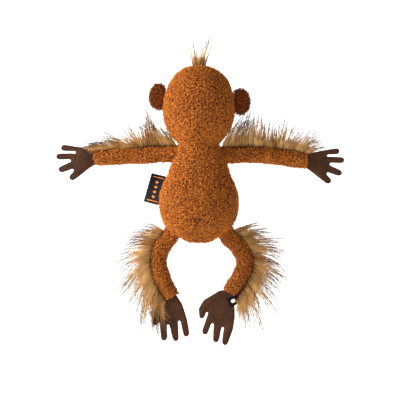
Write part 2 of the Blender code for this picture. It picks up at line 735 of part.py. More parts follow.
def main():
    clear_scene()
    root = pivot_frame("seat_frame", (0.0, 0.0, 0.0))
    build_torso(root)
    head_frame = pivot_frame("neck_pivot", (0.0, 0.0, NECK_PIVOT_HEIGHT), root)
    build_head(head_frame)
    foot_frames = {}
    for side_name, side in (("left", -1), ("right", 1)):
        build_ear(side_name, side, head_frame)
        build_arm(side_name, side, root)
        foot_frames[side_name] = build_leg(side_name, side, root)
    build_tag(root)
    build_ankle_label(foot_frames["right"])


main()
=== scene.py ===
"""The looks of the stuffed monkey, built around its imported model.

A limp toy of curly rust pile with combed locks along its limbs, suede hands and feet, and a
suede face. Sizes are in the toy's millimetres and are turned to metres where a mesh is made.
Each piece is an operator in the toy's panel, and main() calls them in order.
"""
import math

import bmesh
import bpy
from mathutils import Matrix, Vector, noise
from mathutils.bvhtree import BVHTree


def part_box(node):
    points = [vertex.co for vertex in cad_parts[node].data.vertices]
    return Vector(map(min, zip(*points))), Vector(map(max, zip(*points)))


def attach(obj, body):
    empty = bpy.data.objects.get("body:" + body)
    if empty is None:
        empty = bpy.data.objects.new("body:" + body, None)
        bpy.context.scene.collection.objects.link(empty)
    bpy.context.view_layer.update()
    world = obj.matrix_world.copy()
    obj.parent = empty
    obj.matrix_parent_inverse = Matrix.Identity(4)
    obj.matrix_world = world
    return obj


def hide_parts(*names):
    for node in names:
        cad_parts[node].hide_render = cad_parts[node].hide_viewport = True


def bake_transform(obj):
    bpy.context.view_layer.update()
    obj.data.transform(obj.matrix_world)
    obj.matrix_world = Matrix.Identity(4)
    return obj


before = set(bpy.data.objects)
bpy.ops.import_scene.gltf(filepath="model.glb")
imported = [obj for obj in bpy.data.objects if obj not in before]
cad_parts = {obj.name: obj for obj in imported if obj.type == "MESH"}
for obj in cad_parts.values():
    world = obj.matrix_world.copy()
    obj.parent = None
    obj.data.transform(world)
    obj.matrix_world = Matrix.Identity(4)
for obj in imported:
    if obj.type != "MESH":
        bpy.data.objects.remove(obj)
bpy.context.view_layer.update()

bl_info = {
    "name": "Stuffed monkey",
    "version": (1, 0, 0),
    "blender": (4, 5, 0),
    "location": "3D View > Sidebar > Toy",
    "description": "Builds a curly plush monkey with suede hands and feet",
    "category": "Add Mesh",
}

MM = 0.001
SIDES = {"left": -1, "right": 1}

# The body's sections: half widths at heights, and where the neck is drawn in.
TORSO_OUTLINE = ((14.0, 0.0), (23.92, 6.0), (37.26, 16.02), (43.7, 28.01), (46.0, 40.0),
                 (44.85, 52.0), (41.86, 63.98), (35.65, 80.0), (29.44, 95.92), (24.84, 109.0),
                 (22.6, 113.0))
HEAD_OUTLINE = ((22.6, 113.0), (23.1, 117.0), (28.02, 122.0), (34.2, 129.74), (38.73, 139.75),
                (41.2, 154.31), (40.17, 170.69), (34.61, 187.07), (25.54, 198.9), (13.6, 205.73),
                (0.01, 208.0))
NECK = 113.0
FACE_MIDDLE = Vector((0.0, 164.0))
FACE_SIZE = Vector((50.0, 48.0))
MUZZLE_MIDDLE = Vector((0.0, 152.0))

# Each limb's centre line as (outwards, up) from its pivot, and its depth.
LIMB_RADIUS = 8.3
LIMBS = {
    ("left", "arm"): ((-34.64, 103.8), 4.0,
                      ((22.2, -1.2), (45.2, -2.4), (68.2, -3.4), (91.8, -4.8))),
    ("right", "arm"): ((35.27, 102.0), 4.0,
                       ((23.2, 0.6), (47.2, -0.5), (70.2, -3.4), (94.2, -7.2))),
    ("left", "leg"): ((-35.19, 4.0), 6.0,
                      ((10.0, -13.0), (13.6, -31.0), (8.6, -51.6), (-3.2, -72.4))),
    ("right", "leg"): ((35.19, 4.0), 6.0,
                       ((13.4, -13.5), (20.0, -31.0), (13.4, -50.0), (2.0, -67.6))),
}
STRETCHES = {"arm": ("upper_arm", "forearm", "hand"), "leg": ("thigh", "shin", "foot")}

# How the long hair is combed: (share of the limb, across, up, length in mm) for each limb.
COMBED = {
    ("left", "arm"): ((-0.04, -0.55, 0.80, 20), (0.10, -0.50, 0.85, 25), (0.18, -0.22, 1.0, 33),
                      (0.33, -0.12, 1.0, 31), (0.40, -0.50, 0.85, 23), (0.60, -0.85, 0.50, 20),
                      (0.85, -0.95, 0.26, 17), (1.0, -1.0, 0.08, 13)),
    ("right", "arm"): ((0.0, 0.50, 0.86, 30), (0.14, 0.30, 1.0, 29), (0.30, 0.08, 1.0, 27),
                       (0.62, 0.10, 1.0, 27), (0.76, 0.42, 0.9, 26), (0.90, 0.72, 0.62, 23),
                       (1.0, 0.95, 0.22, 16)),
    ("left", "leg"): ((-0.04, -0.85, 0.50, 20), (0.14, -0.98, 0.14, 28), (0.32, -1.0, -0.12, 31),
                      (0.47, -0.80, -0.58, 31), (0.65, -0.42, -0.90, 34), (0.85, -0.10, -1.0, 40),
                      (1.0, 0.10, -1.0, 34)),
    ("right", "leg"): ((-0.02, 0.88, 0.42, 22), (0.25, 1.0, 0.06, 28), (0.45, 0.92, -0.35, 31),
                       (0.65, 0.76, -0.64, 33), (0.84, 0.42, -0.90, 34), (1.0, -0.06, -1.0, 33)),
}


# ---------------------------------------------------------------- small helpers

def linear(colour):
    """The linear colour, with full alpha, of an sRGB hex colour."""
    parts = [int(colour[k:k + 2], 16) / 255 for k in (0, 2, 4)]
    return tuple(p / 12.92 if p <= 0.04045 else ((p + 0.055) / 1.055) ** 2.4
                 for p in parts) + (1.0,)


def smooth(low, high, value):
    share = min(max((value - low) / (high - low), 0.0), 1.0)
    return share * share * (3 - 2 * share)


def spline(points, steps):
    """Points along a smooth curve through the given ones, `steps` to each stretch between two."""
    points = [Vector(point) for point in points]
    padded = [2 * points[0] - points[1], *points, 2 * points[-1] - points[-2]]
    found = [points[0]]
    for k in range(1, len(padded) - 2):
        before, start, end, after = padded[k - 1:k + 3]
        for step in range(1, steps + 1):
            t = step / steps
            leave = (end - before) / 2
            arrive = (after - start) / 2
            found.append(
                start * (2 * t**3 - 3 * t**2 + 1) + leave * (t**3 - 2 * t**2 + t)
                + end * (3 * t**2 - 2 * t**3) + arrive * (t**3 - t**2)
            )
    return found


def table_value(table, at):
    """The row of numbers between the table's rows at a place, eased in a straight line."""
    if at <= table[0][0]:
        return table[0][1:]
    for low, high in zip(table, table[1:]):
        if at <= high[0]:
            share = (at - low[0]) / (high[0] - low[0])
            return tuple(a + (b - a) * share for a, b in zip(low[1:], high[1:]))
    return table[-1][1:]


def new_object(name, data):
    made = bpy.data.objects.new(name, data)
    bpy.context.scene.collection.objects.link(made)
    return made


def mesh_object(name, points, faces, material=None):
    """An object of smooth faces from points in mm."""
    data = bpy.data.meshes.new(name)
    data.from_pydata([tuple(Vector(p) * MM) for p in points], [], faces)
    data.validate()
    data.shade_smooth()
    if material:
        data.materials.append(material)
    return new_object(name, data)


def turned_outwards(made):
    """Faces of a closed piece turned outwards."""
    mesh = bmesh.new()
    mesh.from_mesh(made.data)
    bmesh.ops.remove_doubles(mesh, verts=mesh.verts, dist=0.01 * MM)
    bmesh.ops.recalc_face_normals(mesh, faces=mesh.faces)
    mesh.to_mesh(made.data)
    mesh.free()
    made.data.shade_smooth()
    return made


def rows_object(name, rows, material=None, caps=True, span=None):
    """A skin through rings of points, open or with a fan on each end; `span` keeps a sector."""
    count = len(rows[0])
    first, last = span or (0, count)
    points = [p for row in rows for p in row]
    faces = []
    for k in range(len(rows) - 1):
        for j in range(first, last):
            a, b = k * count + j % count, k * count + (j + 1) % count
            faces.append((a, b, b + count, a + count))
    if caps:
        for start, flip in ((0, True), ((len(rows) - 1) * count, False)):
            ring = list(range(start, start + count))
            points.append(sum((Vector(points[k]) for k in ring), Vector()) / count)
            for j in range(count):
                a, b = ring[j], ring[(j + 1) % count]
                faces.append((b, a, len(points) - 1) if flip else (a, b, len(points) - 1))
    made = mesh_object(name, points, faces, material)
    return turned_outwards(made) if caps else made


def point_attribute(made, name, kind, values):
    attribute = made.data.attributes.new(name, kind, "POINT")
    if kind == "FLOAT_VECTOR":
        attribute.data.foreach_set("vector", [x for v in values for x in v])
    else:
        attribute.data.foreach_set("value", values)


def evaluated_mesh(made):
    """The plain mesh of an object with its modifiers applied."""
    depsgraph = bpy.context.evaluated_depsgraph_get()
    depsgraph.update()
    return bpy.data.meshes.new_from_object(made.evaluated_get(depsgraph),
                                           preserve_all_data_layers=True, depsgraph=depsgraph)


def apply_modifiers(made):
    data = evaluated_mesh(made)
    made.modifiers.clear()
    old = made.data
    made.data = data
    bpy.data.meshes.remove(old)
    return made


def tube(path, radius, sides=6, taper=1.0):
    """Points and faces of a closed tube along points in mm; `taper` is the ends' share."""
    path = [Vector(p) for p in path]
    points, faces = [], []
    side = None
    for k, at in enumerate(path):
        along = (path[min(k + 1, len(path) - 1)] - path[max(k - 1, 0)]).normalized()
        if side is None:
            side = along.orthogonal().normalized()
        side = (side - along * side.dot(along)).normalized()
        up = along.cross(side)
        share = taper + (1 - taper) * math.sin(math.pi * k / max(len(path) - 1, 1))
        for j in range(sides):
            a = 2 * math.pi * j / sides
            points.append(at + (side * math.cos(a) + up * math.sin(a)) * radius * share)
    for k in range(len(path) - 1):
        for j in range(sides):
            a, b = k * sides + j, k * sides + (j + 1) % sides
            faces.append((a, b, b + sides, a + sides))
    faces.append(tuple(reversed(range(sides))))
    last = (len(path) - 1) * sides
    faces.append(tuple(range(last, last + sides)))
    return points, faces


def tubes_object(name, paths, radius, material, sides=6, taper=0.6):
    """Many short tubes, such as stitches, as one piece."""
    points, faces = [], []
    for path in paths:
        more, shapes = tube(path, radius, sides, taper)
        start = len(points)
        points += more
        faces += [tuple(start + k for k in shape) for shape in shapes]
    return turned_outwards(mesh_object(name, points, faces, material))


def node(tree, kind, inputs=None, **settings):
    """One node with its settings; an input given as a socket is linked, and else set."""
    made = tree.nodes.new(kind)
    for name, value in settings.items():
        setattr(made, name, value)
    for name, value in (inputs or {}).items():
        if isinstance(value, bpy.types.NodeSocket):
            tree.links.new(value, made.inputs[name])
        else:
            made.inputs[name].default_value = value
    return made


# ---------------------------------------------------------------- materials

def new_material(name):
    """An empty material: its tree, its shader and a coordinate in mm."""
    made = bpy.data.materials.new(name)
    made.use_nodes = True
    tree = made.node_tree
    shader = tree.nodes["Principled BSDF"]
    place = node(tree, "ShaderNodeTexCoord").outputs["Object"]
    scale = node(tree, "ShaderNodeVectorMath", {0: place, 1: (1000.0, 1000.0, 1000.0)},
                 operation="MULTIPLY").outputs[0]
    return made, tree, shader, scale


def noise_value(tree, place, scale, detail=3.0, roughness=0.55):
    return node(tree, "ShaderNodeTexNoise", {"Vector": place, "Scale": scale, "Detail": detail,
                                             "Roughness": roughness}).outputs["Fac"]


def ramp(tree, value, stops):
    """A colour ramp from (place, hex) stops."""
    made = node(tree, "ShaderNodeValToRGB", {"Fac": value})
    elements = made.color_ramp.elements
    while len(elements) < len(stops):
        elements.new(0.5)
    for element, (place, colour) in zip(elements, stops):
        element.position = place
        element.color = linear(colour)
    return made.outputs["Color"]


def mixed(tree, factor, first, second):
    return node(tree, "ShaderNodeMix", {0: factor, 6: first, 7: second},
                data_type="RGBA").outputs[2]


def calculate(tree, operation, first, second=0.0, third=0.0):
    return node(tree, "ShaderNodeMath", {0: first, 1: second, 2: third},
                operation=operation).outputs[0]


def set_shader(tree, shader, values):
    for name, value in values.items():
        if isinstance(value, bpy.types.NodeSocket):
            tree.links.new(value, shader.inputs[name])
        else:
            shader.inputs[name].default_value = value


def bumped(tree, height, strength, distance):
    return node(tree, "ShaderNodeBump", {"Height": height, "Strength": strength,
                                         "Distance": distance}).outputs["Normal"]


def attribute(tree, name):
    return node(tree, "ShaderNodeAttribute", attribute_name=name).outputs["Fac"]


def pile_material(name, dark, light):
    """Bouclé pile, knitted: each curl has its own rust, with a painted highlight towards its tip and
    painted shade towards its root, and painted shade darkens the pile low on the body.
    """
    made, tree, shader, place = new_material(name)
    tone = calculate(tree, "ADD", calculate(tree, "MULTIPLY", attribute(tree, "shade"), 0.45),
                     calculate(tree, "MULTIPLY", noise_value(tree, place, 0.04), 0.3))
    # Painted highlight: each curl lighter towards its tip.
    tone = calculate(tree, "MULTIPLY_ADD", attribute(tree, "along"), 0.4, tone)
    colour = mixed(tree, tone, tuple(dark[:3]) + (1.0,), tuple(light[:3]) + (1.0,))
    # Painted shade: each curl darker towards its root, where the curls shade one another.
    root = calculate(tree, "MULTIPLY_ADD", attribute(tree, "along"), 0.5, 0.5)
    # Painted shade: the pile darker from 14 mm up the torso down to 30 mm below its base, and as dark
    # below that.
    legs = node(tree, "ShaderNodeMapRange", {
        "Value": node(tree, "ShaderNodeSeparateXYZ", {0: place}).outputs["Z"],
        "From Min": -30.0, "From Max": 14.0, "To Min": 0.86, "To Max": 1.0}).outputs[0]
    shaded = node(tree, "ShaderNodeVectorMath", {
        0: colour, "Scale": calculate(tree, "MULTIPLY", root, legs)}, operation="SCALE").outputs[0]
    set_shader(tree, shader, {"Base Color": shaded, "Roughness": 0.8, "Sheen Weight": 0.03,
                              "Specular IOR Level": 0.12,
                              "Sheen Roughness": 0.5, "Sheen Tint": linear("E8914A")})
    return made


def backing_material():
    """Backing under the pile, knitted: its loops show between the curls, and their dark colour is painted
    shade in the gaps.
    """
    made, tree, shader, place = new_material("Pile backing, knitted")
    cells = node(tree, "ShaderNodeTexVoronoi", {"Vector": place, "Scale": 0.9}).outputs["Distance"]
    # Painted shade: the backing made darker than the yarn so the gaps between the curls read as shaded.
    colour = ramp(tree, cells, ((0.0, "7A380C"), (0.9, "431C05")))
    set_shader(tree, shader, {"Base Color": colour, "Roughness": 0.95,
                              "Normal": bumped(tree, cells, 0.6, 0.0006)})
    return made


def hair_material(settings):
    """Faux fur, brushed: brown roots, gold and cream lengths, and near-black tips on long hairs."""
    made, tree, shader, place = new_material("Long faux fur, brushed")
    along, guard = attribute(tree, "along"), attribute(tree, "guard")
    tone = calculate(tree, "MULTIPLY_ADD", attribute(tree, "shade"), 0.45,
                     calculate(tree, "MULTIPLY", attribute(tree, "lock"), 0.65))
    length = mixed(tree, tone, tuple(settings.hair_gold) + (1.0,),
                   tuple(settings.hair_cream) + (1.0,))
    roots = node(tree, "ShaderNodeMapRange", {"Value": along, "From Min": 0.03, "From Max": 0.2,
                                              "To Min": 0.0},
                 interpolation_type="SMOOTHSTEP").outputs[0]
    rooted = mixed(tree, roots, linear("3A1C0A"), length)
    tips = node(tree, "ShaderNodeMapRange", {"Value": along, "From Min": 0.35, "From Max": 0.75},
                interpolation_type="SMOOTHSTEP").outputs[0]
    tipped = mixed(tree, calculate(tree, "MULTIPLY", tips, guard), rooted, linear("33200F"))
    streak = node(tree, "ShaderNodeMapRange", {"Value": noise_value(tree, place, 0.12),
                                               "To Min": 0.4, "To Max": 1.25}).outputs[0]
    colour = node(tree, "ShaderNodeVectorMath", {0: tipped, "Scale": streak},
                  operation="SCALE").outputs[0]
    set_shader(tree, shader, {"Base Color": colour, "Roughness": 0.55, "Specular IOR Level": 0.15})
    return made


def suede_material(name, dark, light, nap, grain_strength=0.5):
    """Microsuede, brushed: a short nap that goes lighter and darker where it is stroked."""
    made, tree, shader, place = new_material(name)
    grain = noise_value(tree, place, 2.2, 4.0, 0.7)
    stroked = noise_value(tree, place, nap, 3.0, 0.6)
    fibres = node(tree, "ShaderNodeTexNoise", {
        "Vector": node(tree, "ShaderNodeVectorMath", {0: place, 1: (1.0, 1.0, 0.25)},
                       operation="MULTIPLY").outputs[0],
        "Scale": 1.6, "Detail": 3.0}).outputs["Fac"]
    tone = calculate(tree, "MULTIPLY_ADD", stroked, 0.65,
                     calculate(tree, "MULTIPLY_ADD", fibres, 0.3, -0.02))
    colour = ramp(tree, calculate(tree, "MULTIPLY_ADD", grain, 0.22, tone),
                  ((0.3, dark), (0.78, light)))
    rough = node(tree, "ShaderNodeMapRange", {"Value": stroked, "To Min": 0.78,
                                              "To Max": 0.95}).outputs[0]
    set_shader(tree, shader, {
        "Base Color": colour, "Roughness": rough, "Sheen Weight": 0.07, "Sheen Roughness": 0.35,
        "Specular IOR Level": 0.2,
        "Sheen Tint": linear(light), "Normal": bumped(tree, grain, grain_strength, 0.0004)})
    return made


def satin_material():
    """Black satin ribbon, woven: fine crossing threads that catch a narrow gloss."""
    made, tree, shader, place = new_material("Satin ribbon, woven")
    warp = node(tree, "ShaderNodeTexWave", {"Vector": place, "Scale": 0.75, "Distortion": 0.3},
                bands_direction="Z").outputs["Fac"]
    weft = node(tree, "ShaderNodeTexWave", {"Vector": place, "Scale": 0.5, "Distortion": 0.3},
                bands_direction="X").outputs["Fac"]
    weave = calculate(tree, "MULTIPLY_ADD", warp, 0.6, calculate(tree, "MULTIPLY", weft, 0.4))
    colour = ramp(tree, weave, ((0.0, "050404"), (1.0, "151210")))
    rough = node(tree, "ShaderNodeMapRange", {"Value": weave, "To Min": 0.55,
                                              "To Max": 0.38}).outputs[0]
    set_shader(tree, shader, {"Base Color": colour, "Roughness": rough, "Specular IOR Level": 0.06,
                              "Normal": bumped(tree, weave, 0.35, 0.0002)})
    return made


def thread_material(name, dark, light):
    """Polyester thread, twisted: slanting plies with a soft shine."""
    made, tree, shader, place = new_material(name)
    plies = node(tree, "ShaderNodeTexWave", {"Vector": place, "Scale": 0.9, "Distortion": 0.6},
                 bands_direction="DIAGONAL").outputs["Fac"]
    set_shader(tree, shader, {"Base Color": ramp(tree, plies, ((0.0, dark), (1.0, light))),
                              "Roughness": 0.6, "Specular IOR Level": 0.15,
                              "Normal": bumped(tree, plies, 0.5, 0.0002)})
    return made


def plastic_material(name, dark, light, roughness):
    """Plastic, moulded: an even body with faint flow clouding and handling haze in its gloss."""
    made, tree, shader, place = new_material(name)
    cloud = noise_value(tree, place, 0.25, 4.0)
    rough = node(tree, "ShaderNodeMapRange", {"Value": noise_value(tree, place, 0.8), "To Min":
                                              roughness * 0.8, "To Max": roughness * 1.4})
    set_shader(tree, shader, {"Base Color": ramp(tree, cloud, ((0.2, dark), (0.9, light))),
                              "Roughness": rough.outputs[0], "Specular IOR Level": 0.4,
                              "Normal": bumped(tree, cloud, 0.05, 0.0002)})
    return made


def paper_material(name, colour, edge, glow=0.0):
    """Seamless studio paper, matt: an even tone with a very faint tooth."""
    made, tree, shader, place = new_material(name)
    tooth = noise_value(tree, place, 0.6)
    set_shader(tree, shader, {"Base Color": ramp(tree, tooth, ((0.2, edge), (0.8, colour))),
                              "Roughness": 0.95, "Emission Color": linear(colour),
                              "Emission Strength": glow, "Normal": bumped(tree, tooth, 0.02, 0.0003)})
    return made


MADE = {}


def material(name):
    """Each material, made once when it is first asked for."""
    settings = bpy.context.scene.toy_settings
    makers = {
        "pile": lambda: pile_material("Bouclé pile, knitted curls", settings.pile_dark,
                                      settings.pile_light),
        "ear pile": lambda: pile_material("Ear pile, cut short", linear("5E2609"),
                                          linear("B45C1C")),
        "backing": backing_material,
        "hair": lambda: hair_material(settings),
        "suede": lambda: suede_material("Microsuede, brushed", "241106", "4C2D1A", 0.07),
        "face": lambda: suede_material("Face microsuede, brushed", "8F6344", "C79A72", 0.11, 0.35),
        "ear": lambda: suede_material("Ear velour, cut pile", "2E1107", "552410", 0.16, 0.7),
        "satin": satin_material,
        "black thread": lambda: thread_material("Embroidery thread, black", "0A0807", "2B2420"),
        "rust thread": lambda: thread_material("Sewing thread, rust", "3E1B0A", "6B3315"),
        "orange thread": lambda: thread_material("Woven thread, orange", "B85A1C", "E58A3E"),
        "pale thread": lambda: thread_material("Woven thread, pale", "B8B0A6", "E9E4DC"),
        "eye": lambda: plastic_material("Eye plastic, moulded", "050404", "15100D", 0.08),
        "washer": lambda: plastic_material("Washer plastic, moulded", "14120F", "262320", 0.4),
    }
    if name not in MADE:
        MADE[name] = makers[name]()
    return MADE[name]


# ---------------------------------------------------------------- node trees

def empty_tree(name, inputs):
    """A geometry tree with its named inputs: (name, socket type, default)."""
    tree = bpy.data.node_groups.new(name, "GeometryNodeTree")
    tree.interface.new_socket("Geometry", in_out="INPUT", socket_type="NodeSocketGeometry")
    for label, kind, value in inputs:
        socket = tree.interface.new_socket(label, in_out="INPUT", socket_type=kind)
        if value is not None:
            socket.default_value = value
    tree.interface.new_socket("Geometry", in_out="OUTPUT", socket_type="NodeSocketGeometry")
    return tree, node(tree, "NodeGroupInput").outputs


def named(tree, name, kind="FLOAT"):
    return node(tree, "GeometryNodeInputNamedAttribute", {"Name": name},
                data_type=kind).outputs["Attribute"]


def stored(tree, geometry, name, value, domain="POINT", kind="FLOAT"):
    return node(tree, "GeometryNodeStoreNamedAttribute", {
        "Geometry": geometry, "Name": name, "Value": value},
        domain=domain, data_type=kind).outputs["Geometry"]


def random_value(tree, low, high, seed, kind="FLOAT"):
    made = tree.nodes.new("FunctionNodeRandomValue")
    made.data_type = kind
    start = 2 if kind == "FLOAT" else 0
    made.inputs[start].default_value = low
    made.inputs[start + 1].default_value = high
    made.inputs["Seed"].default_value = seed
    return made.outputs[1 if kind == "FLOAT" else 0]


def vector_sum(tree, first, second):
    return node(tree, "ShaderNodeVectorMath", {0: first, 1: second}, operation="ADD").outputs[0]


def scaled(tree, vector, by):
    return node(tree, "ShaderNodeVectorMath", {0: vector, "Scale": by},
                operation="SCALE").outputs[0]


def finished_tree(tree, geometry, paint):
    real = node(tree, "GeometryNodeRealizeInstances", {"Geometry": geometry}).outputs[0]
    done = node(tree, "GeometryNodeSetMaterial", {"Geometry": real, "Material": paint}).outputs[0]
    node(tree, "NodeGroupOutput", {"Geometry": done})
    return tree


def pile_tree():
    """Small curls of yarn scattered over a skin, each standing and turned its own way."""
    tree, given = empty_tree("Curly pile", (
        ("Density", "NodeSocketFloat", 420000.0), ("Spacing", "NodeSocketFloat", 0.001),
        ("Curl Radius", "NodeSocketFloat", 0.0011), ("Yarn Radius", "NodeSocketFloat", 0.0004),
        ("Seed", "NodeSocketInt", 1), ("Material", "NodeSocketMaterial", None)))
    curl = node(tree, "GeometryNodeCurveSpiral", {
        "Resolution": 5, "Rotations": 1.05, "Start Radius": given["Curl Radius"],
        "End Radius": calculate(tree, "MULTIPLY", given["Curl Radius"], 0.75),
        "Height": calculate(tree, "MULTIPLY", given["Curl Radius"], 1.5)}).outputs[0]
    factor = node(tree, "GeometryNodeSplineParameter").outputs["Factor"]
    curl = stored(tree, curl, "along", factor)
    round_wire = node(tree, "GeometryNodeCurvePrimitiveCircle", {
        "Resolution": 3, "Radius": given["Yarn Radius"]}).outputs["Curve"]
    yarn = node(tree, "GeometryNodeCurveToMesh", {"Curve": curl, "Profile Curve": round_wire,
                                                  "Fill Caps": True}).outputs[0]
    yarn = node(tree, "GeometryNodeSetShadeSmooth", {"Geometry": yarn}).outputs[0]
    spread = node(tree, "GeometryNodeDistributePointsOnFaces", {
        "Mesh": given["Geometry"], "Distance Min": given["Spacing"],
        "Density Max": given["Density"], "Density Factor": named(tree, "cover"),
        "Seed": given["Seed"]}, distribute_method="POISSON")
    facing = node(tree, "FunctionNodeAlignRotationToVector", {"Vector": spread.outputs["Normal"]},
                  axis="Z").outputs[0]
    tumble = random_value(tree, (-1.1, -1.1, 0.0), (1.1, 1.1, 6.28), 11, "FLOAT_VECTOR")
    tumble = node(tree, "FunctionNodeEulerToRotation", {"Euler": tumble}).outputs[0]
    turned = node(tree, "FunctionNodeRotateRotation", {"Rotation": facing, "Rotate By": tumble},
                  rotation_space="LOCAL").outputs[0]
    lifted = node(tree, "GeometryNodeSetPosition", {
        "Geometry": spread.outputs["Points"],
        "Offset": scaled(tree, spread.outputs["Normal"],
                         random_value(tree, -0.0002, 0.0012, 5))}).outputs[0]
    placed = node(tree, "GeometryNodeInstanceOnPoints", {
        "Points": lifted, "Instance": yarn, "Rotation": turned,
        "Scale": random_value(tree, 0.7, 1.3, 7)}).outputs[0]
    placed = stored(tree, placed, "shade", random_value(tree, 0.0, 1.0, 9), "INSTANCE")
    return finished_tree(tree, placed, given["Material"])


def hair_tree():
    """Long hairs rooted on a strip, combed along its `comb` vectors and drawn into locks."""
    tree, given = empty_tree("Long hair", (
        ("Density", "NodeSocketFloat", 1500000.0), ("Hair Radius", "NodeSocketFloat", 0.00028),
        ("Lock Size", "NodeSocketFloat", 0.0062), ("Locking", "NodeSocketFloat", 0.7),
        ("Waviness", "NodeSocketFloat", 0.003), ("Stray", "NodeSocketFloat", 0.16),
        ("Seed", "NodeSocketInt", 1),
        ("Material", "NodeSocketMaterial", None)))
    spread = node(tree, "GeometryNodeDistributePointsOnFaces", {
        "Mesh": given["Geometry"], "Density": given["Density"], "Seed": given["Seed"]},
        distribute_method="RANDOM")
    points = stored(tree, spread.outputs["Points"], "root",
                    node(tree, "GeometryNodeInputPosition").outputs[0], kind="FLOAT_VECTOR")
    points = stored(tree, points, "lift", spread.outputs["Normal"], kind="FLOAT_VECTOR")
    points = stored(tree, points, "shade", random_value(tree, 0.0, 1.0, 3))
    points = stored(tree, points, "stray", random_value(
        tree, (-1.0, -1.0, -1.0), (1.0, 1.0, 1.0), 21, "FLOAT_VECTOR"), kind="FLOAT_VECTOR")
    chance = random_value(tree, 0.0, 1.0, 4)
    guard = node(tree, "ShaderNodeMapRange", {"Value": chance, "From Min": 0.72,
                                              "From Max": 0.95}).outputs[0]
    reach = calculate(tree, "MULTIPLY_ADD", chance, 0.34, 0.36)
    reach = calculate(tree, "MULTIPLY_ADD", guard, 0.95, reach)
    points = stored(tree, points, "guard", calculate(tree, "POWER", guard, 0.5))
    points = stored(tree, points, "reach", reach)
    line = node(tree, "GeometryNodeCurvePrimitiveLine", {"End": (0.0, 0.0, 1.0)}).outputs[0]
    line = node(tree, "GeometryNodeResampleCurve", {"Curve": line, "Count": 8}).outputs[0]
    line = stored(tree, line, "along", node(tree, "GeometryNodeSplineParameter").outputs["Factor"])
    hairs = node(tree, "GeometryNodeInstanceOnPoints", {"Points": points, "Instance": line})
    hairs = node(tree, "GeometryNodeRealizeInstances", {"Geometry": hairs.outputs[0]}).outputs[0]

    along, root = named(tree, "along"), named(tree, "root", "FLOAT_VECTOR")
    comb, lift = named(tree, "comb", "FLOAT_VECTOR"), named(tree, "lift", "FLOAT_VECTOR")
    size = calculate(tree, "DIVIDE", 1.0, given["Lock Size"])
    cell = node(tree, "ShaderNodeTexVoronoi", {"Vector": root, "Scale": size})
    lock = node(tree, "FunctionNodeSeparateColor", {0: cell.outputs["Color"]}).outputs[0]
    longer = calculate(tree, "MULTIPLY_ADD", lock, 0.5, 0.72)
    reach = calculate(tree, "MULTIPLY", named(tree, "reach"), longer)
    length = node(tree, "ShaderNodeVectorMath", {0: comb}, operation="LENGTH").outputs["Value"]
    rise = calculate(tree, "MULTIPLY", calculate(tree, "MULTIPLY", along,
                                                 calculate(tree, "SUBTRACT", 1.0, along)),
                     calculate(tree, "MULTIPLY", length, 0.7))
    place = vector_sum(tree, root, scaled(tree, lift, rise))
    place = vector_sum(tree, place, scaled(tree, comb, calculate(tree, "MULTIPLY", along, reach)))
    bent = calculate(tree, "POWER", along, 2.0)
    to_middle = node(tree, "ShaderNodeVectorMath", {0: cell.outputs["Position"], 1: root},
                     operation="SUBTRACT").outputs[0]
    pull = calculate(tree, "MULTIPLY", calculate(tree, "POWER", along, 1.3), given["Locking"])
    place = vector_sum(tree, place, scaled(tree, to_middle, pull))
    swirl = vector_sum(tree, scaled(tree, cell.outputs["Color"], 9.0),
                       scaled(tree, root, 60.0))
    swirl = vector_sum(tree, swirl, scaled(tree, comb, calculate(tree, "MULTIPLY", along, 34.0)))
    wave = node(tree, "ShaderNodeTexNoise", {"Vector": swirl, "Scale": 1.0, "Detail": 1.0})
    wave = node(tree, "ShaderNodeVectorMath", {0: wave.outputs["Color"], 1: (-0.5, -0.5, -0.5)},
                operation="ADD").outputs[0]
    sway = calculate(tree, "MULTIPLY", calculate(tree, "MULTIPLY", bent, given["Waviness"]), 4.0)
    place = vector_sum(tree, place, scaled(tree, wave, sway))
    loose = calculate(tree, "MULTIPLY", bent, calculate(tree, "MULTIPLY", length, given["Stray"]))
    place = vector_sum(tree, place, scaled(tree, named(tree, "stray", "FLOAT_VECTOR"), loose))
    drop = node(tree, "ShaderNodeCombineXYZ", {
        2: calculate(tree, "MULTIPLY", calculate(tree, "MULTIPLY", bent, length), -0.12)})
    place = vector_sum(tree, place, drop.outputs[0])
    combed = node(tree, "GeometryNodeSetPosition", {"Geometry": hairs, "Position": place})
    combed = stored(tree, combed.outputs[0], "lock", lock)
    round_wire = node(tree, "GeometryNodeCurvePrimitiveCircle", {
        "Resolution": 3, "Radius": given["Hair Radius"]}).outputs["Curve"]
    thin = calculate(tree, "MULTIPLY_ADD", calculate(tree, "POWER", along, 2.0), -0.8, 1.0)
    thin = calculate(tree, "MULTIPLY", thin, calculate(
        tree, "MULTIPLY_ADD", named(tree, "guard"), 0.35, 1.0))
    tubes = node(tree, "GeometryNodeCurveToMesh", {
        "Curve": combed, "Profile Curve": round_wire, "Scale": thin, "Fill Caps": True}).outputs[0]
    tubes = node(tree, "GeometryNodeSetShadeSmooth", {"Geometry": tubes}).outputs[0]
    return finished_tree(tree, tubes, given["Material"])


TREES = {}


def grow(name, carrier, kind, values):
    """The plain mesh that a node tree grows on a carrier mesh, which is then removed."""
    if kind not in TREES:
        TREES[kind] = {"pile": pile_tree, "hair": hair_tree}[kind]()
    tree = TREES[kind]
    modifier = carrier.modifiers.new("grow", "NODES")
    modifier.node_group = tree
    sockets = {s.name: s.identifier for s in tree.interface.items_tree
               if s.item_type == "SOCKET" and s.in_out == "INPUT"}
    for label, value in values.items():
        modifier[sockets[label]] = value
    data = evaluated_mesh(carrier)
    bpy.data.objects.remove(carrier)
    for label in ("cover", "comb", "root", "lift", "reach", "stray"):
        if label in data.attributes:
            data.attributes.remove(data.attributes[label])
    data.name = name
    made = new_object(name, data)
    return made


# ---------------------------------------------------------------- the body

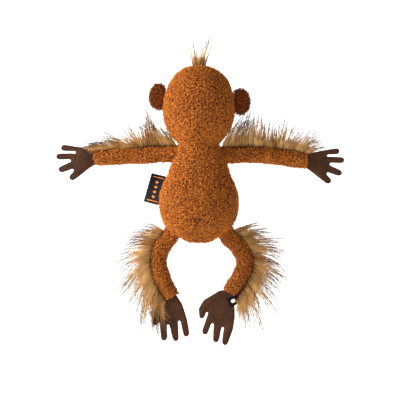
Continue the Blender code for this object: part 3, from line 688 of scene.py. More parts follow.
def depth_at(height):
    """(depth as a share of the half width, middle y) of the body's section at a height."""
    share = smooth(108.0, 119.0, height)
    return 0.78 + 0.14 * share, 2.0 * share


def outline_width(outline, height):
    for low, high in zip(outline, outline[1:]):
        if low.y <= height <= high.y:
            return low.x + (high.x - low.x) * (height - low.y) / max(high.y - low.y, 1e-6)
    return 0.0


def body_rows(outline, count=144):
    """Rings of the torso or the head, uneven as stuffing makes them."""
    rows = []
    for width, height in outline:
        ratio, middle = depth_at(height)
        ring = []
        for k in range(count):
            a = 2 * math.pi * k / count
            p = Vector((width * math.cos(a), middle + width * ratio * math.sin(a), height))
            lump = noise.noise(p * 0.045) * 1.3 + noise.noise(p * 0.11 + Vector((9, 4, 2))) * 0.7
            inward = closing_seam(p) - lump * min(1.0, width / 30) * neck_share(height)
            out = Vector((p.x, (p.y - middle) / ratio**2, 0.0))
            out = out.normalized() if out.length else Vector((0, 0, 1))
            ring.append(p - out * inward)
        rows.append(ring)
    return rows


def neck_share(height):
    """None at the neck, where torso and head meet, and one away from it."""
    return smooth(0.0, 8.0, abs(height - NECK))


def closing_seam(p):
    """How far the hand-sewn closing seam low on the back draws the cloth in, in mm."""
    if p.y > 0 or p.z > 34:
        return 0.0
    upright = math.exp(-((p.x + 1.0) / 1.7) ** 2) * (1 - smooth(24.0, 27.0, p.z)) * 1.8
    level = math.exp(-((p.z - 25.5) / 1.3) ** 2) * (1 - smooth(9.0, 14.0, abs(p.x + 2))) * 1.6
    return max(upright, level)


def body_cover(p):
    """How densely the pile covers a point of the body: none under the face or in the seam."""
    cover = 1.0
    if p.y > 0 and p.z > NECK:
        share = Vector(((p.x - FACE_MIDDLE.x) / FACE_SIZE.x * 2,
                        (p.z - FACE_MIDDLE.y) / FACE_SIZE.y * 2)).length
        cover = smooth(0.93, 1.0, share)
    return cover * (1 - 0.8 * smooth(1.1, 1.6, closing_seam(p)))


def carrier_of(rows, cover, span=None):
    """A mesh for the pile to grow on, with how densely it is covered."""
    made = rows_object("carrier", rows, caps=False, span=span)
    middle = len(rows) // 2
    centre = sum((Vector(p) for p in rows[middle]), Vector()) / len(rows[middle])
    face = min(made.data.polygons, key=lambda f: abs(f.center.z - centre.z * MM))
    if face.normal.dot(face.center - centre * MM) < 0:
        made.data.flip_normals()
    values = [cover(Vector(v.co) / MM) for v in made.data.vertices]
    point_attribute(made, "cover", "FLOAT", values)
    return made


def pile_values(settings, seed):
    return {"Density": settings.pile_density * 1e6, "Spacing": settings.pile_spacing,
            "Curl Radius": settings.curl_radius, "Yarn Radius": settings.yarn_radius,
            "Seed": seed, "Material": material("pile")}


def build_body(settings):
    """The torso and the head: a skin each, and the pile on it in upright sectors."""
    torso = spline([(6.0, -1.6), (11.0, -1.0), *TORSO_OUTLINE], 5)
    head = spline(HEAD_OUTLINE, 5)
    for name, outline, gone, sectors in (
            ("torso", torso, ("torso_back_cover", "torso_front_cover", "torso_fill", "bean_bag"), 3),
            ("head", head, ("head_back_cover", "head_front_cover", "head_fill"), 2)):
        rows = body_rows(outline)
        skin = rows_object(f"{name}_skin", rows, material("backing"))
        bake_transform(skin)
        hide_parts(*gone)
        wide = len(rows[0]) // sectors
        for k in range(sectors):
            carrier = carrier_of(rows, body_cover, (k * wide, (k + 1) * wide))
            curls = grow(f"{name}_pile_{k + 1}", carrier, "pile",
                         pile_values(settings, 10 + k + 5 * sectors))
            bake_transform(curls)


# ---------------------------------------------------------------- limbs

def limb_line(side_name, kind):
    """The centre line in mm: its points, and how many to a stretch between two given points."""
    start, depth, steps = LIMBS[side_name, kind]
    side = SIDES[side_name]
    pivot = Vector((start[0], depth, start[1]))
    given = [pivot + Vector((side * out, 0, up)) for out, up in steps]
    first = (given[0] - pivot).normalized()
    if kind == "arm":
        root = pivot - first * 10.0
    else:
        root = pivot + Vector((-side * 5.0, 0.0, 9.0))
    return spline([root, pivot, *given], 8), pivot, given


def limb_frame(line, k):
    along = (line[min(k + 1, len(line) - 1)] - line[max(k - 1, 0)]).normalized()
    return along, Vector((0, 1, 0)), along.cross(Vector((0, 1, 0)))


def limb_rows(line, first, last, kind, seed, count=48):
    """Rings of a stuffed sleeve, from one point of its centre line to another."""
    rows = []
    for k in range(first, last + 1):
        _, depth, up = limb_frame(line, k)
        share = k / (len(line) - 1)
        radius = LIMB_RADIUS + (0.7 if kind == "leg" else 0.0) * (1 - share)
        radius -= 0.9 * smooth(0.93, 1.0, share)
        ring = []
        for j in range(count):
            a = 2 * math.pi * j / count
            out = up * math.cos(a) + depth * math.sin(a)
            lump = noise.noise((line[k] + out * 6) * 0.07 + Vector((seed, 0, 0))) * 1.0
            ring.append(line[k] + out * (radius + lump))
        rows.append(ring)
    return rows


def round_end(rows, line, k, towards):
    """A sleeve's rings, closed by a half ball around a point of its centre line."""
    along = limb_frame(line, k)[0] * towards
    ring = rows[-1] if towards > 0 else rows[0]
    shrunk = 1.0 if towards > 0 else 0.96
    made = []
    for step in range(1, 7):
        a = math.radians(14 * step)
        made.append([line[k] + (p - line[k]) * math.cos(a) * shrunk
                     + along * (p - line[k]).length * math.sin(a) * shrunk for p in ring])
    return rows + made if towards > 0 else made[::-1] + rows


TORSO_LINE = spline(TORSO_OUTLINE, 4)


def limb_cover(p):
    """How densely the pile covers a point of a sleeve: none where it is inside the torso."""
    width = outline_width(TORSO_LINE, p.z)
    inside = width >= 1 and math.hypot(p.x / width, p.y / (0.78 * width)) < 0.93
    return 0.0 if inside else 1.0


def hair_side(side_name, kind, up):
    """The outward direction in which a limb's hair strip faces: its top, or its outer side."""
    if kind == "arm":
        return up if up.z > 0 else -up
    return up if up.x * SIDES[side_name] > 0 else -up


def hair_rows(side_name, kind, line, first, last):
    """The strip that the long hair is rooted in, and each point's combing vector in mm."""
    rows, combs = [], []
    for k in range(first, last + 1):
        _, depth, up = limb_frame(line, k)
        facing = hair_side(side_name, kind, up)
        share = (k - 8) / (len(line) - 9)
        across, rise, length = table_value(COMBED[side_name, kind], share)
        row, comb = [], []
        for j in range(7):
            a = math.radians(-32 + 64 * j / 6)
            out = facing * math.cos(a) + depth * math.sin(a)
            row.append(line[k] + out * (LIMB_RADIUS + 0.2))
            lean = Vector((across, 0.0, rise)).normalized()
            lean = (lean + depth * math.sin(a) * 0.35).normalized()
            comb.append(lean * length)
        rows.append(row)
        combs += comb
    return rows, combs


def hair_carrier(rows, combs, side=1):
    """The strip's mesh, facing outwards, with its combing vectors in metres."""
    count = len(rows[0])
    points = [p for row in rows for p in row]
    faces = []
    for k in range(len(rows) - 1):
        for j in range(count - 1):
            a = k * count + j
            shape = (a, a + 1, a + 1 + count, a + count)
            faces.append(shape if side > 0 else shape[::-1])
    made = mesh_object("carrier", points, faces)
    point_attribute(made, "comb", "FLOAT_VECTOR", [c * MM for c in combs])
    return made


def faces_out(made, centre):
    """Whether a strip's faces look away from a point in mm."""
    face = made.data.polygons[len(made.data.polygons) // 2]
    return face.normal.dot(face.center - Vector(centre) * MM) > 0


# The point of a limb's centre line at which its upper stretch ends.
MIDDLES = {"arm": 24, "leg": 16}


def build_limb(side_name, kind, settings):
    """Both stretches of a limb: skin, pile and long hair.

    A leg's stretches meet at the knee without round ends. An arm's stretches have round ends that turn in
    each other at the elbow, and so stay whole at any mix of shoulder and elbow angles.
    """
    line, pivot, given = limb_line(side_name, kind)
    upper, lower, _ = STRETCHES[kind]
    names = {"upper": f"{side_name}_{upper}", "lower": f"{side_name}_{lower}"}
    middle = MIDDLES[kind]
    spans = {"upper": (0, middle), "lower": (middle, len(line) - 1)}
    seed = 30 + 7 * list(LIMBS).index((side_name, kind))

    for k, part in enumerate(("upper", "lower")):
        start, stop = spans[part]
        rows = limb_rows(line, start, stop, kind, seed)
        if kind == "arm":
            rows = round_end(rows, line, middle, 1 if part == "upper" else -1)
        label = names[part]
        skin = rows_object(f"{label}_skin", rows, material("backing"))
        rigid = (kind, part) == ("arm", "lower")

        def follow(piece):
            if rigid:
                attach(piece, label)
            else:
                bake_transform(piece)

        follow(skin)
        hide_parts(f"{label}_sleeve", f"{label}_fill")
        curls = grow(f"{label}_pile", carrier_of(rows, limb_cover), "pile",
                     pile_values(settings, seed + k))
        follow(curls)
        begin = (2 if kind == "arm" else 6) if part == "upper" else start
        strip, combs = hair_rows(side_name, kind, line, begin, stop)
        carrier = hair_carrier(strip, combs)
        if not faces_out(carrier, line[(begin + stop) // 2]):
            bpy.data.objects.remove(carrier)
            carrier = hair_carrier(strip, combs, -1)
        hair = grow(f"{label}_hair", carrier, "hair", {
            "Density": settings.hair_density * 1e6, "Hair Radius": settings.hair_radius,
            "Seed": seed + k + 3, "Material": material("hair")})
        follow(hair)
        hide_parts(f"{label}_fur")


def build_tuft(settings):
    """The tuft of long hair on the crown."""
    points, combs, faces = [], [], []
    rings, count = 5, 14
    for k in range(rings):
        for j in range(count):
            a = 2 * math.pi * j / count
            r = k / (rings - 1)
            x, y = 7.5 * r * math.cos(a), 2 + 4.5 * r * math.sin(a)
            points.append(Vector((x, y, 207.6 - 1.3 * r)))
            lean = Vector((0.30 * r * math.cos(a) + 0.02, 0.2 * r * math.sin(a), 1.0))
            combs.append(lean.normalized() * (30 - 5 * r))
    for k in range(rings - 1):
        for j in range(count):
            a, b = k * count + j, k * count + (j + 1) % count
            faces.append((a, b, b + count, a + count))
    made = mesh_object("carrier", points, faces)
    if made.data.polygons[-1].normal.z < 0:
        made.data.flip_normals()
    point_attribute(made, "comb", "FLOAT_VECTOR", [c * MM for c in combs])
    hair = grow("crown_tuft_hair", made, "hair", {
        "Density": settings.hair_density * 0.8e6, "Hair Radius": settings.hair_radius,
        "Lock Size": 0.005, "Locking": 0.5, "Waviness": 0.0015, "Stray": 0.16, "Seed": 99,
        "Material": material("hair")})
    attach(hair, "head")
    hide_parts("crown_tuft")


# ---------------------------------------------------------------- stuffed suede pieces

def joined_copy(name, nodes):
    """One mesh object of copies of CAD nodes."""
    mesh = bmesh.new()
    for label in nodes:
        mesh.from_mesh(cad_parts[label].data)
    bmesh.ops.remove_doubles(mesh, verts=mesh.verts, dist=0.001 * MM)
    data = bpy.data.meshes.new(name)
    mesh.to_mesh(data)
    mesh.free()
    return new_object(name, data)


def puffed(made, voxel, cap, pressure=4.0, shrink=0.0, frames=20):
    """The piece remeshed and swollen by a cloth simulation, no point moving more than `cap`."""
    remesh = made.modifiers.new("remesh", "REMESH")
    remesh.mode = "VOXEL"
    remesh.voxel_size = voxel * MM
    apply_modifiers(made)
    soften(made, 4, 0.5)
    if shrink:
        for vertex, normal in zip(made.data.vertices, [v.normal.copy() for v in made.data.vertices]):
            vertex.co -= normal * shrink * MM
    rest = [v.co.copy() for v in made.data.vertices]
    cloth = made.modifiers.new("cloth", "CLOTH")
    cloth.settings.quality = 4
    cloth.settings.mass = 0.05
    cloth.settings.tension_stiffness = 8
    cloth.settings.compression_stiffness = 8
    cloth.settings.bending_stiffness = 0.1
    cloth.settings.use_pressure = True
    cloth.settings.uniform_pressure_force = pressure
    cloth.settings.effector_weights.gravity = 0
    cloth.point_cache.frame_start = 1
    cloth.point_cache.frame_end = frames
    for k in range(1, frames + 1):
        bpy.context.scene.frame_set(k)
    apply_modifiers(made)
    bpy.context.scene.frame_set(1)
    for vertex, start in zip(made.data.vertices, rest):
        moved = vertex.co - start
        if moved.length > cap * MM:
            vertex.co = start + moved.normalized() * cap * MM
    soften(made, 3, 0.4)
    return made


def soften(made, rounds, factor):
    """Corners of a mesh eased."""
    mesh = bmesh.new()
    mesh.from_mesh(made.data)
    for _ in range(rounds):
        bmesh.ops.smooth_vert(mesh, verts=mesh.verts, factor=factor, use_axis_x=True,
                              use_axis_y=True, use_axis_z=True)
    mesh.to_mesh(made.data)
    mesh.free()
    made.data.shade_smooth()


def subdivided(made):
    modifier = made.modifiers.new("smooth", "SUBSURF")
    modifier.levels = 1
    modifier.render_levels = 1
    apply_modifiers(made)
    made.data.shade_smooth()
    return made


def creased(made, arc, seam_y):
    """Press a sewn arc of (x, z) in mm into both faces of a piece, and its edge seam at `seam_y`."""
    mesh = bmesh.new()
    mesh.from_mesh(made.data)
    mesh.normal_update()
    moves = {}
    for vertex in mesh.verts:
        p = vertex.co / MM
        near = min((p.xz - a).length for a in arc)
        press = 0.9 * math.exp(-(near / 0.9) ** 2)
        if abs(vertex.normal.y) < 0.55:
            press = max(press, 0.7 * math.exp(-((p.y - seam_y) / 0.75) ** 2))
        if press > 0.01:
            moves[vertex] = -vertex.normal * press * MM
    for vertex, move in moves.items():
        vertex.co += move
    mesh.to_mesh(made.data)
    mesh.free()
    made.data.shade_smooth()


def tucked(made, pivot, out, along, reach=8.0):
    """The root of a hand or foot drawn up into its sleeve, and narrowed to fit there."""
    for vertex in made.data.vertices:
        p = vertex.co / MM
        far = (p - pivot).dot(out)
        share = 1 - min(max(far / reach, 0.0), 1.0)
        if share > 0:
            across = (p - pivot) - out * far
            vertex.co = (pivot + out * far + across * (1 - 0.28 * share)
                         - along * 7.0 * share) * MM


# Hands and feet: outlines from the root round the digits, relative to the pivot, as
# (outwards, up) on a hand and (x, up) on a foot. Each digit is (tip, web that follows it).
HAND = {
    "start": ((1.0, 9.4), (10.0, 11.0), (20.0, 13.2)),
    "digits": (((40.0, 12.6), (21.0, 6.6)), ((45.9, 1.2), (27.5, -3.4)),
               ((42.8, -15.8), (24.5, -14.4)), ((28.6, -27.0), None)),
    "end": ((16.0, -21.6), (8.0, -15.0), (1.0, -9.4)),
}
FEET = {
    "left": {
        "start": ((-9.4, -1.0), (-19.0, -9.0), (-26.6, -18.0)),
        "digits": (((-20.6, -35.0), (-17.0, -19.6)), ((-9.8, -53.6), (-5.6, -33.0)),
                   ((4.6, -54.2), (8.0, -29.0)), ((18.0, -48.6), None)),
        "end": ((18.4, -28.0), (14.0, -14.0), (9.0, -1.0)),
    },
    "right": {
        "start": ((-9.0, -1.0), (-20.0, -1.4), (-32.0, -8.6), (-38.2, -19.0)),
        "digits": (((-35.2, -31.4), (-23.0, -12.5)), ((-31.4, -50.8), (-20.8, -37.0)),
                   ((-17.4, -60.6), (-8.6, -41.4)), ((-6.4, -63.8), None)),
        "end": ((4.6, -44.0), (6.6, -30.0), (6.0, -14.0), (9.4, -1.0)),
    },
}
MITT_THICKNESS = 8.6
DIGIT_RADII = {"arm": (4.2, 4.1, 4.2, 4.3), "leg": (3.8, 4.2, 4.2, 4.2)}
WEB_HALF_WIDTH = 1.1


def tip_arc(before, tip, after, radius):
    """The round end of a digit, from the side of the web before it to the one after it."""
    tip, root = Vector(tip), (Vector(before) + Vector(after)) / 2
    along = (tip - root).normalized()
    across = Vector((-along.y, along.x))
    if (Vector(before) - root).dot(across) < 0:
        across = -across
    middle = tip - along * radius
    return [middle + radius * (across * math.cos(a) + along * math.sin(a))
            for a in (math.pi * k / 6 for k in range(7))]


def middle_of(points):
    return sum(points, Vector((0, 0))) / len(points)


def mitt_outline(shape, radii):
    """The outline of a hand or foot from its root, round its digits and back."""
    outline = [Vector(point) for point in shape["start"]]
    before = shape["start"][-1]
    arcs = []
    for (tip, web), radius in zip(shape["digits"], radii):
        arcs.append(tip_arc(before, tip, web or shape["end"][0], radius))
        before = web
    for k, (tip, web) in enumerate(shape["digits"]):
        outline += arcs[k]
        if web:
            across = (middle_of(arcs[k + 1]) - middle_of(arcs[k])).normalized() * WEB_HALF_WIDTH
            outline += [Vector(web) - across, Vector(web) + across]
    return outline + [Vector(point) for point in shape["end"]]


def mitt_blank(name, outline, pivot, out):
    """A flat plate with the outline of a hand or foot, to be remeshed and swollen."""
    mesh = bmesh.new()
    half = MITT_THICKNESS / 2
    verts = [mesh.verts.new(Vector((pivot.x + out * p.x, pivot.y - half, pivot.z + p.y)) * MM)
             for p in outline]
    face = mesh.faces.new(verts)
    for item in bmesh.ops.extrude_face_region(mesh, geom=[face])["geom"]:
        if isinstance(item, bmesh.types.BMVert):
            item.co.y = (pivot.y + half) * MM
    bmesh.ops.recalc_face_normals(mesh, faces=mesh.faces)
    data = bpy.data.meshes.new(name)
    mesh.to_mesh(data)
    mesh.free()
    return new_object(name, data)


# Arcs sewn at the roots of the middle digits, relative to each pivot, as (outwards, up).
ARCS = {
    ("left", "arm"): ((24.5, 6.5), (21.5, 2.5), (21.0, -2.5), (23.5, -7.5)),
    ("right", "arm"): ((24.5, 6.5), (21.5, 2.5), (21.0, -2.5), (23.5, -7.5)),
    ("left", "leg"): ((-13.5, -22.5), (-9.0, -25.5), (-3.5, -26.0), (1.5, -24.0)),
    ("right", "leg"): ((-20.5, -26.5), (-17.0, -30.5), (-12.0, -32.5), (-7.5, -32.0)),
}


def build_mitts(settings):
    """Hands and feet: two suede panels sewn round their edge, turned and lightly stuffed."""
    panels = {"arm": ("hand_back", "hand_palm"), "leg": ("foot_top", "foot_sole")}
    for (side_name, kind), (start, depth, given) in LIMBS.items():
        label = f"{side_name}_{STRETCHES[kind][2]}"
        nodes = [f"{side_name}_{n}" for n in panels[kind]]
        side = SIDES[side_name]
        pivot = Vector((start[0] + side * given[-1][0], depth, start[1] + given[-1][1]))
        out = side if kind == "arm" else 1
        shape = HAND if kind == "arm" else FEET[side_name]
        mitt = mitt_blank(f"{label}_mitt", mitt_outline(shape, DIGIT_RADII[kind]), pivot, out)
        puffed(mitt, 0.95, 0.9, shrink=0.5)
        subdivided(mitt)
        arc = [(pivot.x + out * a, pivot.z + b) for a, b in ARCS[side_name, kind]]
        creased(mitt, spline(arc, 6), depth)
        before = Vector((start[0] + side * given[-2][0], depth, start[1] + given[-2][1]))
        along = (pivot - before).normalized()
        tucked(mitt, pivot, Vector((side, 0, 0)) if kind == "arm" else Vector((0, 0, -1)), along)
        mitt.data.materials.clear()
        mitt.data.materials.append(material("suede"))
        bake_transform(mitt)
        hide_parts(*nodes)


def build_ears(settings):
    """Round ears, dished in front, of the same curls cut shorter and darker."""
    for side_name, side in SIDES.items():
        nodes = [f"{side_name}_ear_back", f"{side_name}_ear_lining"]
        ear = joined_copy(f"{side_name}_ear", nodes)
        puffed(ear, 1.2, 1.0)
        subdivided(ear)
        low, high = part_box(nodes[0])
        middle = (low + high) / 2 / MM
        for vertex in ear.data.vertices:
            p = vertex.co / MM
            near = math.hypot((p.x - middle.x) / 6.5, (p.z - middle.z) / 9.0)
            if vertex.normal.y > 0.3:
                p.y -= 1.6 * math.exp(-near**2)
            p.x += 2.4 if side < 0 else -0.6
            vertex.co = p * MM
        ear.data.materials.clear()
        ear.data.materials.append(material("ear"))
        carrier = new_object("carrier", ear.data.copy())
        carrier.data.materials.clear()
        point_attribute(carrier, "cover", "FLOAT", [1.0] * len(carrier.data.vertices))
        values = pile_values(settings, 70 + side)
        values |= {"Curl Radius": settings.curl_radius * 0.8, "Material": material("ear pile")}
        curls = grow(f"{side_name}_ear_pile", carrier, "pile", values)
        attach(curls, f"{side_name}_ear")
        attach(ear, f"{side_name}_ear")
        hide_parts(*nodes)


# ---------------------------------------------------------------- the face

def bvh_of(made):
    return BVHTree.FromObject(made, bpy.context.evaluated_depsgraph_get())


def front_of(tree, x, z, lift):
    """The point on the front of a piece at (x, z), raised by `lift`, all in mm."""
    hit = tree.ray_cast(Vector((x, 90.0, z)) * MM, Vector((0, -1, 0)))
    at = hit[0] / MM if hit[0] else Vector((x, 40.0, z))
    return Vector((x, at.y + lift, z))


def build_face(settings):
    head = bvh_of(bpy.data.objects["head_skin"])
    rings, count = 14, 64
    rows = []
    for k, (share, lift) in enumerate([(1.0, 0.1), (1.012, 0.8), (1.0, 1.5)]
                                      + [(1 - j / rings, 1.7) for j in range(1, rings)]):
        row = []
        for j in range(count):
            a = 2 * math.pi * j / count
            x = FACE_MIDDLE.x + FACE_SIZE.x / 2 * share * math.cos(a)
            z = FACE_MIDDLE.y + FACE_SIZE.y / 2 * share * math.sin(a)
            row.append(front_of(head, x, z, lift))
        rows.append(row)
    inner = [[p - Vector((0, 1.2, 0)) for p in row] for row in rows[2:]]
    panel = rows_object("face_patch", inner[::-1] + rows[2:], material("face"))
    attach(panel, "head")
    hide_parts("face_panel")
    muzzle = joined_copy("muzzle_pad", ["muzzle"])
    puffed(muzzle, 1.2, 1.2)
    subdivided(muzzle)
    muzzle.data.materials.clear()
    muzzle.data.materials.append(material("face"))
    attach(muzzle, "head")
    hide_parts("muzzle")
    ground = bvh_of(muzzle)
    threads = []
    for k in range(15):
        x = -4.4 + 8.8 * k / 14
        tall = 3.0 * math.sqrt(max(1 - (x / 4.8) ** 2, 0.03))
        middle = MUZZLE_MIDDLE.y + 5.5
        path = []
        for j in range(9):
            t = -1 + 2 * j / 8
            path.append(front_of(ground, x, middle + tall * t, 0.15 + 1.1 * math.sqrt(1 - t * t)))
        threads.append(path)
    nose = tubes_object("nose_embroidery", threads, 0.42, material("black thread"))
    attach(nose, "head")
    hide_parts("nose")
    stitches = []
    bow = [Vector((x, MUZZLE_MIDDLE.y - 6.2 + 0.030 * x * x)) for x in
           [-7.5 + 15 * k / 30 for k in range(31)]]
    for k in range(0, 30, 3):
        stitches.append([front_of(ground, bow[j].x, bow[j].y, 0.25 + 0.3 * (j - k) * (3.3 - j + k))
                         for j in range(k, min(k + 4, 31))])
    drop = [MUZZLE_MIDDLE.y + 2.6 - 8.6 * k / 9 for k in range(10)]
    for k in range(0, 9, 3):
        stitches.append([front_of(ground, 0, drop[j], 0.25 + 0.25 * (j - k) * (3.3 - j + k))
                         for j in range(k, k + 4)])
    mouth = tubes_object("mouth_stitches", stitches, 0.4, material("black thread"))
    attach(mouth, "head")
    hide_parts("mouth")
    for side_name, side in SIDES.items():
        build_eye(side_name, (side * EYE_OUT, EYE_HEIGHT))


EYE_OUT, EYE_HEIGHT = 11.5, 172.0


def build_eye(side_name, middle):
    """A domed shank eye with a thin rim, sunk a little in the suede."""
    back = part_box(f"{side_name}_eye")[1].y / MM - 3.36
    rows = []
    profile = [(1.6, -6.0), (1.6, 0.0), (4.2, -0.1), (4.45, 0.25), (4.35, 0.65), (4.0, 0.8)]
    profile += [(4.0 * math.cos(a), 0.8 + 2.7 * math.sin(a))
                for a in (math.radians(8 + 9 * k) for k in range(9))]
    profile += [(0.25, 3.49)]
    for radius, out in profile:
        rows.append([Vector((middle[0] + radius * math.cos(a), back + out,
                             middle[1] + radius * math.sin(a)))
                     for a in (2 * math.pi * k / 40 for k in range(40))])
    eye = rows_object(f"{side_name}_eye_dome", rows, material("eye"))
    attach(eye, "head")
    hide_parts(f"{side_name}_eye")
    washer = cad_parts[f"{side_name}_eye_washer"]
    washer.data.materials.clear()
    washer.data.materials.append(material("washer"))


# ---------------------------------------------------------------- labels and seams

# The ribbon label in the left side seam and the small one at the right ankle, in mm.
TAG_PIVOT = Vector((-44.51, 6.0, 59.0))
TAG_LENGTH, TAG_WIDTH, TAG_CURL = 36.0, 23.6, 1.5
TAG_LEAN = math.radians(40)
LABEL_FOLD = Vector((38.99, 0.0, -68.2))
LABEL_LENGTH, LABEL_WIDTH, LABEL_CURL = 12.5, 10.5, 0.4
LABEL_SLANT = math.radians(22)


def ribbon_bend(u, v, length, width, curl):
    """How far a ribbon has curled, in mm, at `u` out from its seam and `v` along it."""
    return curl * math.sin(u / width * 1.9) * (0.4 + v / length) * u / width


def ribbon(name, start, along, out, thick, length, width, gap, curl, paint):
    """A loop of ribbon folded at its outer edge, both ends in the seam; sizes in mm.
    `along` is the seam's direction, `out` away from it, and `thick` across the two layers."""
    section = []
    for k in range(13):
        section.append((width * k / 12 * 0.985, gap / 2 * math.sin(math.pi * k / 24) ** 0.5
                        if k else 0.25))
    for k in range(1, 6):
        a = math.pi / 2 - math.pi * k / 6
        section.append((width * 0.985 + gap / 2 * math.cos(a), gap / 2 * math.sin(a)))
    section += [(u, -v) for u, v in section[:13][::-1]]
    wall = 0.32
    rows = []
    for k in range(19):
        v = k / 18
        row_out, row_in = [], []
        for j, (u, w) in enumerate(section):
            before, after = section[max(j - 1, 0)], section[min(j + 1, len(section) - 1)]
            normal = Vector((-(after[1] - before[1]), after[0] - before[0])).normalized()
            bend = ribbon_bend(u, v * length, length, width, curl)
            for found, step in ((row_out, wall / 2), (row_in, -wall / 2)):
                at = start + along * length * v + out * (u + normal.x * step)
                found.append(at + thick * (w + normal.y * step + bend))
        rows.append(row_out + row_in[::-1])
    return rows_object(name, rows, paint)


def flat_marks(name, start, along, out, thick, shapes, lift, size, paint):
    """Small woven marks that lie on a ribbon: each shape is a list of (out, along) corners."""
    points, faces = [], []
    for shape in shapes:
        first = len(points)
        for height in (lift, lift + 0.15):
            for u, v in shape:
                bend = ribbon_bend(u, v, *size)
                points.append(start + out * u + along * v + thick * (height + bend))
        count = len(shape)
        faces.append(tuple(range(first + count - 1, first - 1, -1)))
        faces.append(tuple(range(first + count, first + 2 * count)))
        for k in range(count):
            a, b = first + k, first + (k + 1) % count
            faces.append((a, b, b + count, a + count))
    made = turned_outwards(mesh_object(name, points, faces, paint))
    made.data.shade_flat()
    return made


def build_labels(settings):
    """Two folded ribbons: one in the side seam with woven ornaments, one at the ankle."""
    along = Vector((-0.245, 0.0, -0.969)).normalized()
    out = Vector((along.z, 0, -along.x))
    across = (out * math.cos(TAG_LEAN) + Vector((0, 1, 0)) * math.sin(TAG_LEAN)).normalized()
    thick = along.cross(across).normalized()
    if thick.y > 0:
        thick = -thick
    start = TAG_PIVOT - along * TAG_LENGTH / 2 - across
    tag = ribbon("hang_tag_ribbon", start, along, across, thick, TAG_LENGTH, TAG_WIDTH, 1.3,
                 TAG_CURL, material("satin"))
    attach(tag, "hang_tag")
    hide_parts("hang_tag")

    shapes = [[(3.0, v), (19.5, v), (19.5, v + 0.9), (3.0, v + 0.9)] for v in (3.0, 32.0)]
    for v in (10.0, 16.0, 22.0, 28.0):
        shapes.append([(11.2, v - 2.4), (14.0, v - 0.6), (11.2, v + 1.2), (8.4, v - 0.6)])
    marks = flat_marks("hang_tag_marks", start, along, across, thick, shapes, 0.84,
                       (TAG_LENGTH, TAG_WIDTH, TAG_CURL), material("orange thread"))
    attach(marks, "hang_tag")

    across = Vector((math.cos(LABEL_SLANT), 0.0, math.sin(LABEL_SLANT)))
    down = Vector((across.z, 0.0, -across.x))
    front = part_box("ankle_label")[0].y / MM + 0.2
    start = LABEL_FOLD - across * LABEL_LENGTH / 2 + Vector((0, front, 0))
    label = ribbon("ankle_label_ribbon", start, across, down, Vector((0, -1, 0)), LABEL_LENGTH,
                   LABEL_WIDTH, 0.9, LABEL_CURL, material("satin"))
    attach(label, "ankle_label")
    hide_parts("ankle_label")

    shapes = [[(3.0, 4.4), (5.2, 3.2), (7.4, 4.4), (7.4, 8.0), (5.2, 9.2), (3.0, 8.0)]]
    mark = flat_marks("ankle_label_mark", start, across, down, Vector((0, -1, 0)), shapes, 0.62,
                      (LABEL_LENGTH, LABEL_WIDTH, LABEL_CURL), material("pale thread"))
    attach(mark, "ankle_label")


def build_seams(settings):
    """The hand-sewn closing seam low on the back: a ladder of small stitches."""
    torso = bvh_of(bpy.data.objects["torso_skin"])

    def back_of(x, z, lift):
        hit = torso.ray_cast(Vector((x, -90.0, z)) * MM, Vector((0, 1, 0)))
        at = hit[0] / MM if hit[0] else Vector((x, -20, z))
        return Vector((x, at.y - lift, z))

    stitches = []
    for k in range(9):
        z = 23.5 - 2.6 * k
        stitches.append([back_of(-1.0 + dx, z + 0.5 * dx, 0.7 - 0.25 * abs(dx))
                         for dx in (-1.6, -0.8, 0.0, 0.8, 1.6)])
    for k in range(9):
        x = -11.0 + 2.5 * k
        stitches.append([back_of(x + 0.4 * dz, 25.5 + dz, 0.7 - 0.25 * abs(dz))
                         for dz in (-1.4, -0.7, 0.0, 0.7, 1.4)])
    made = tubes_object("closing_stitches", stitches, 0.3, material("rust thread"))
    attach(made, "torso")


# ---------------------------------------------------------------- the stage

def build_stage(settings):
    """A pale floor that curves up behind, soft light from the left, and the camera."""
    scene = bpy.context.scene
    low = -200.0
    profile = [(-5000.0, low), (2600.0, low)]
    profile += [(2600.0 + 800.0 * math.sin(a), low + 800.0 - 800.0 * math.cos(a))
                for a in (math.radians(9 * k) for k in range(1, 11))]
    profile += [(3400.0, 3000.0)]
    points, faces = [], []
    for y, z in profile:
        points += [(-5000.0, y, z), (5000.0, y, z)]
    for k in range(len(profile) - 1):
        a = 2 * k
        faces.append((a, a + 1, a + 3, a + 2))
    floor = mesh_object("studio_floor", points, faces,
                        paper_material("Seamless paper, matt", "FFFFFF", "FBFBFA", 0.85))
    world = bpy.data.worlds.new("Studio")
    world.use_nodes = True
    tree = world.node_tree
    seen = node(tree, "ShaderNodeLightPath").outputs["Is Camera Ray"]
    strength = calculate(tree, "MULTIPLY_ADD", seen, 1.0 - settings.fill_light,
                         settings.fill_light)
    background = tree.nodes["Background"]
    background.inputs["Color"].default_value = linear("FFFDFA")
    tree.links.new(strength, background.inputs["Strength"])
    scene.world = world
    for name, place, size, power in (("Key light", (-1.55, -0.37, 0.75), 0.7, settings.key_light),
                                     ("Front light", (-0.3, -1.6, 0.6), 0.9,
                                      settings.key_light * 0.08)):
        data = bpy.data.lights.new(name, "AREA")
        data.energy = power
        data.size = size
        light = new_object(name, data)
        light.location = place
        light.rotation_euler = (Vector((0, 0, 0.05)) - light.location).to_track_quat("-Z", "Y").to_euler()
    data = bpy.data.cameras.new("Camera")
    data.lens = 100.0
    data.sensor_width = 36.0
    data.clip_start = 0.05
    camera = new_object("Camera", data)
    camera.location = (0.0012, -1.3333, 0.048)
    camera.rotation_euler = (math.radians(90), 0.0, 0.0)
    scene.camera = camera
    scene.view_settings.view_transform = "Standard"


# ---------------------------------------------------------------- add-on

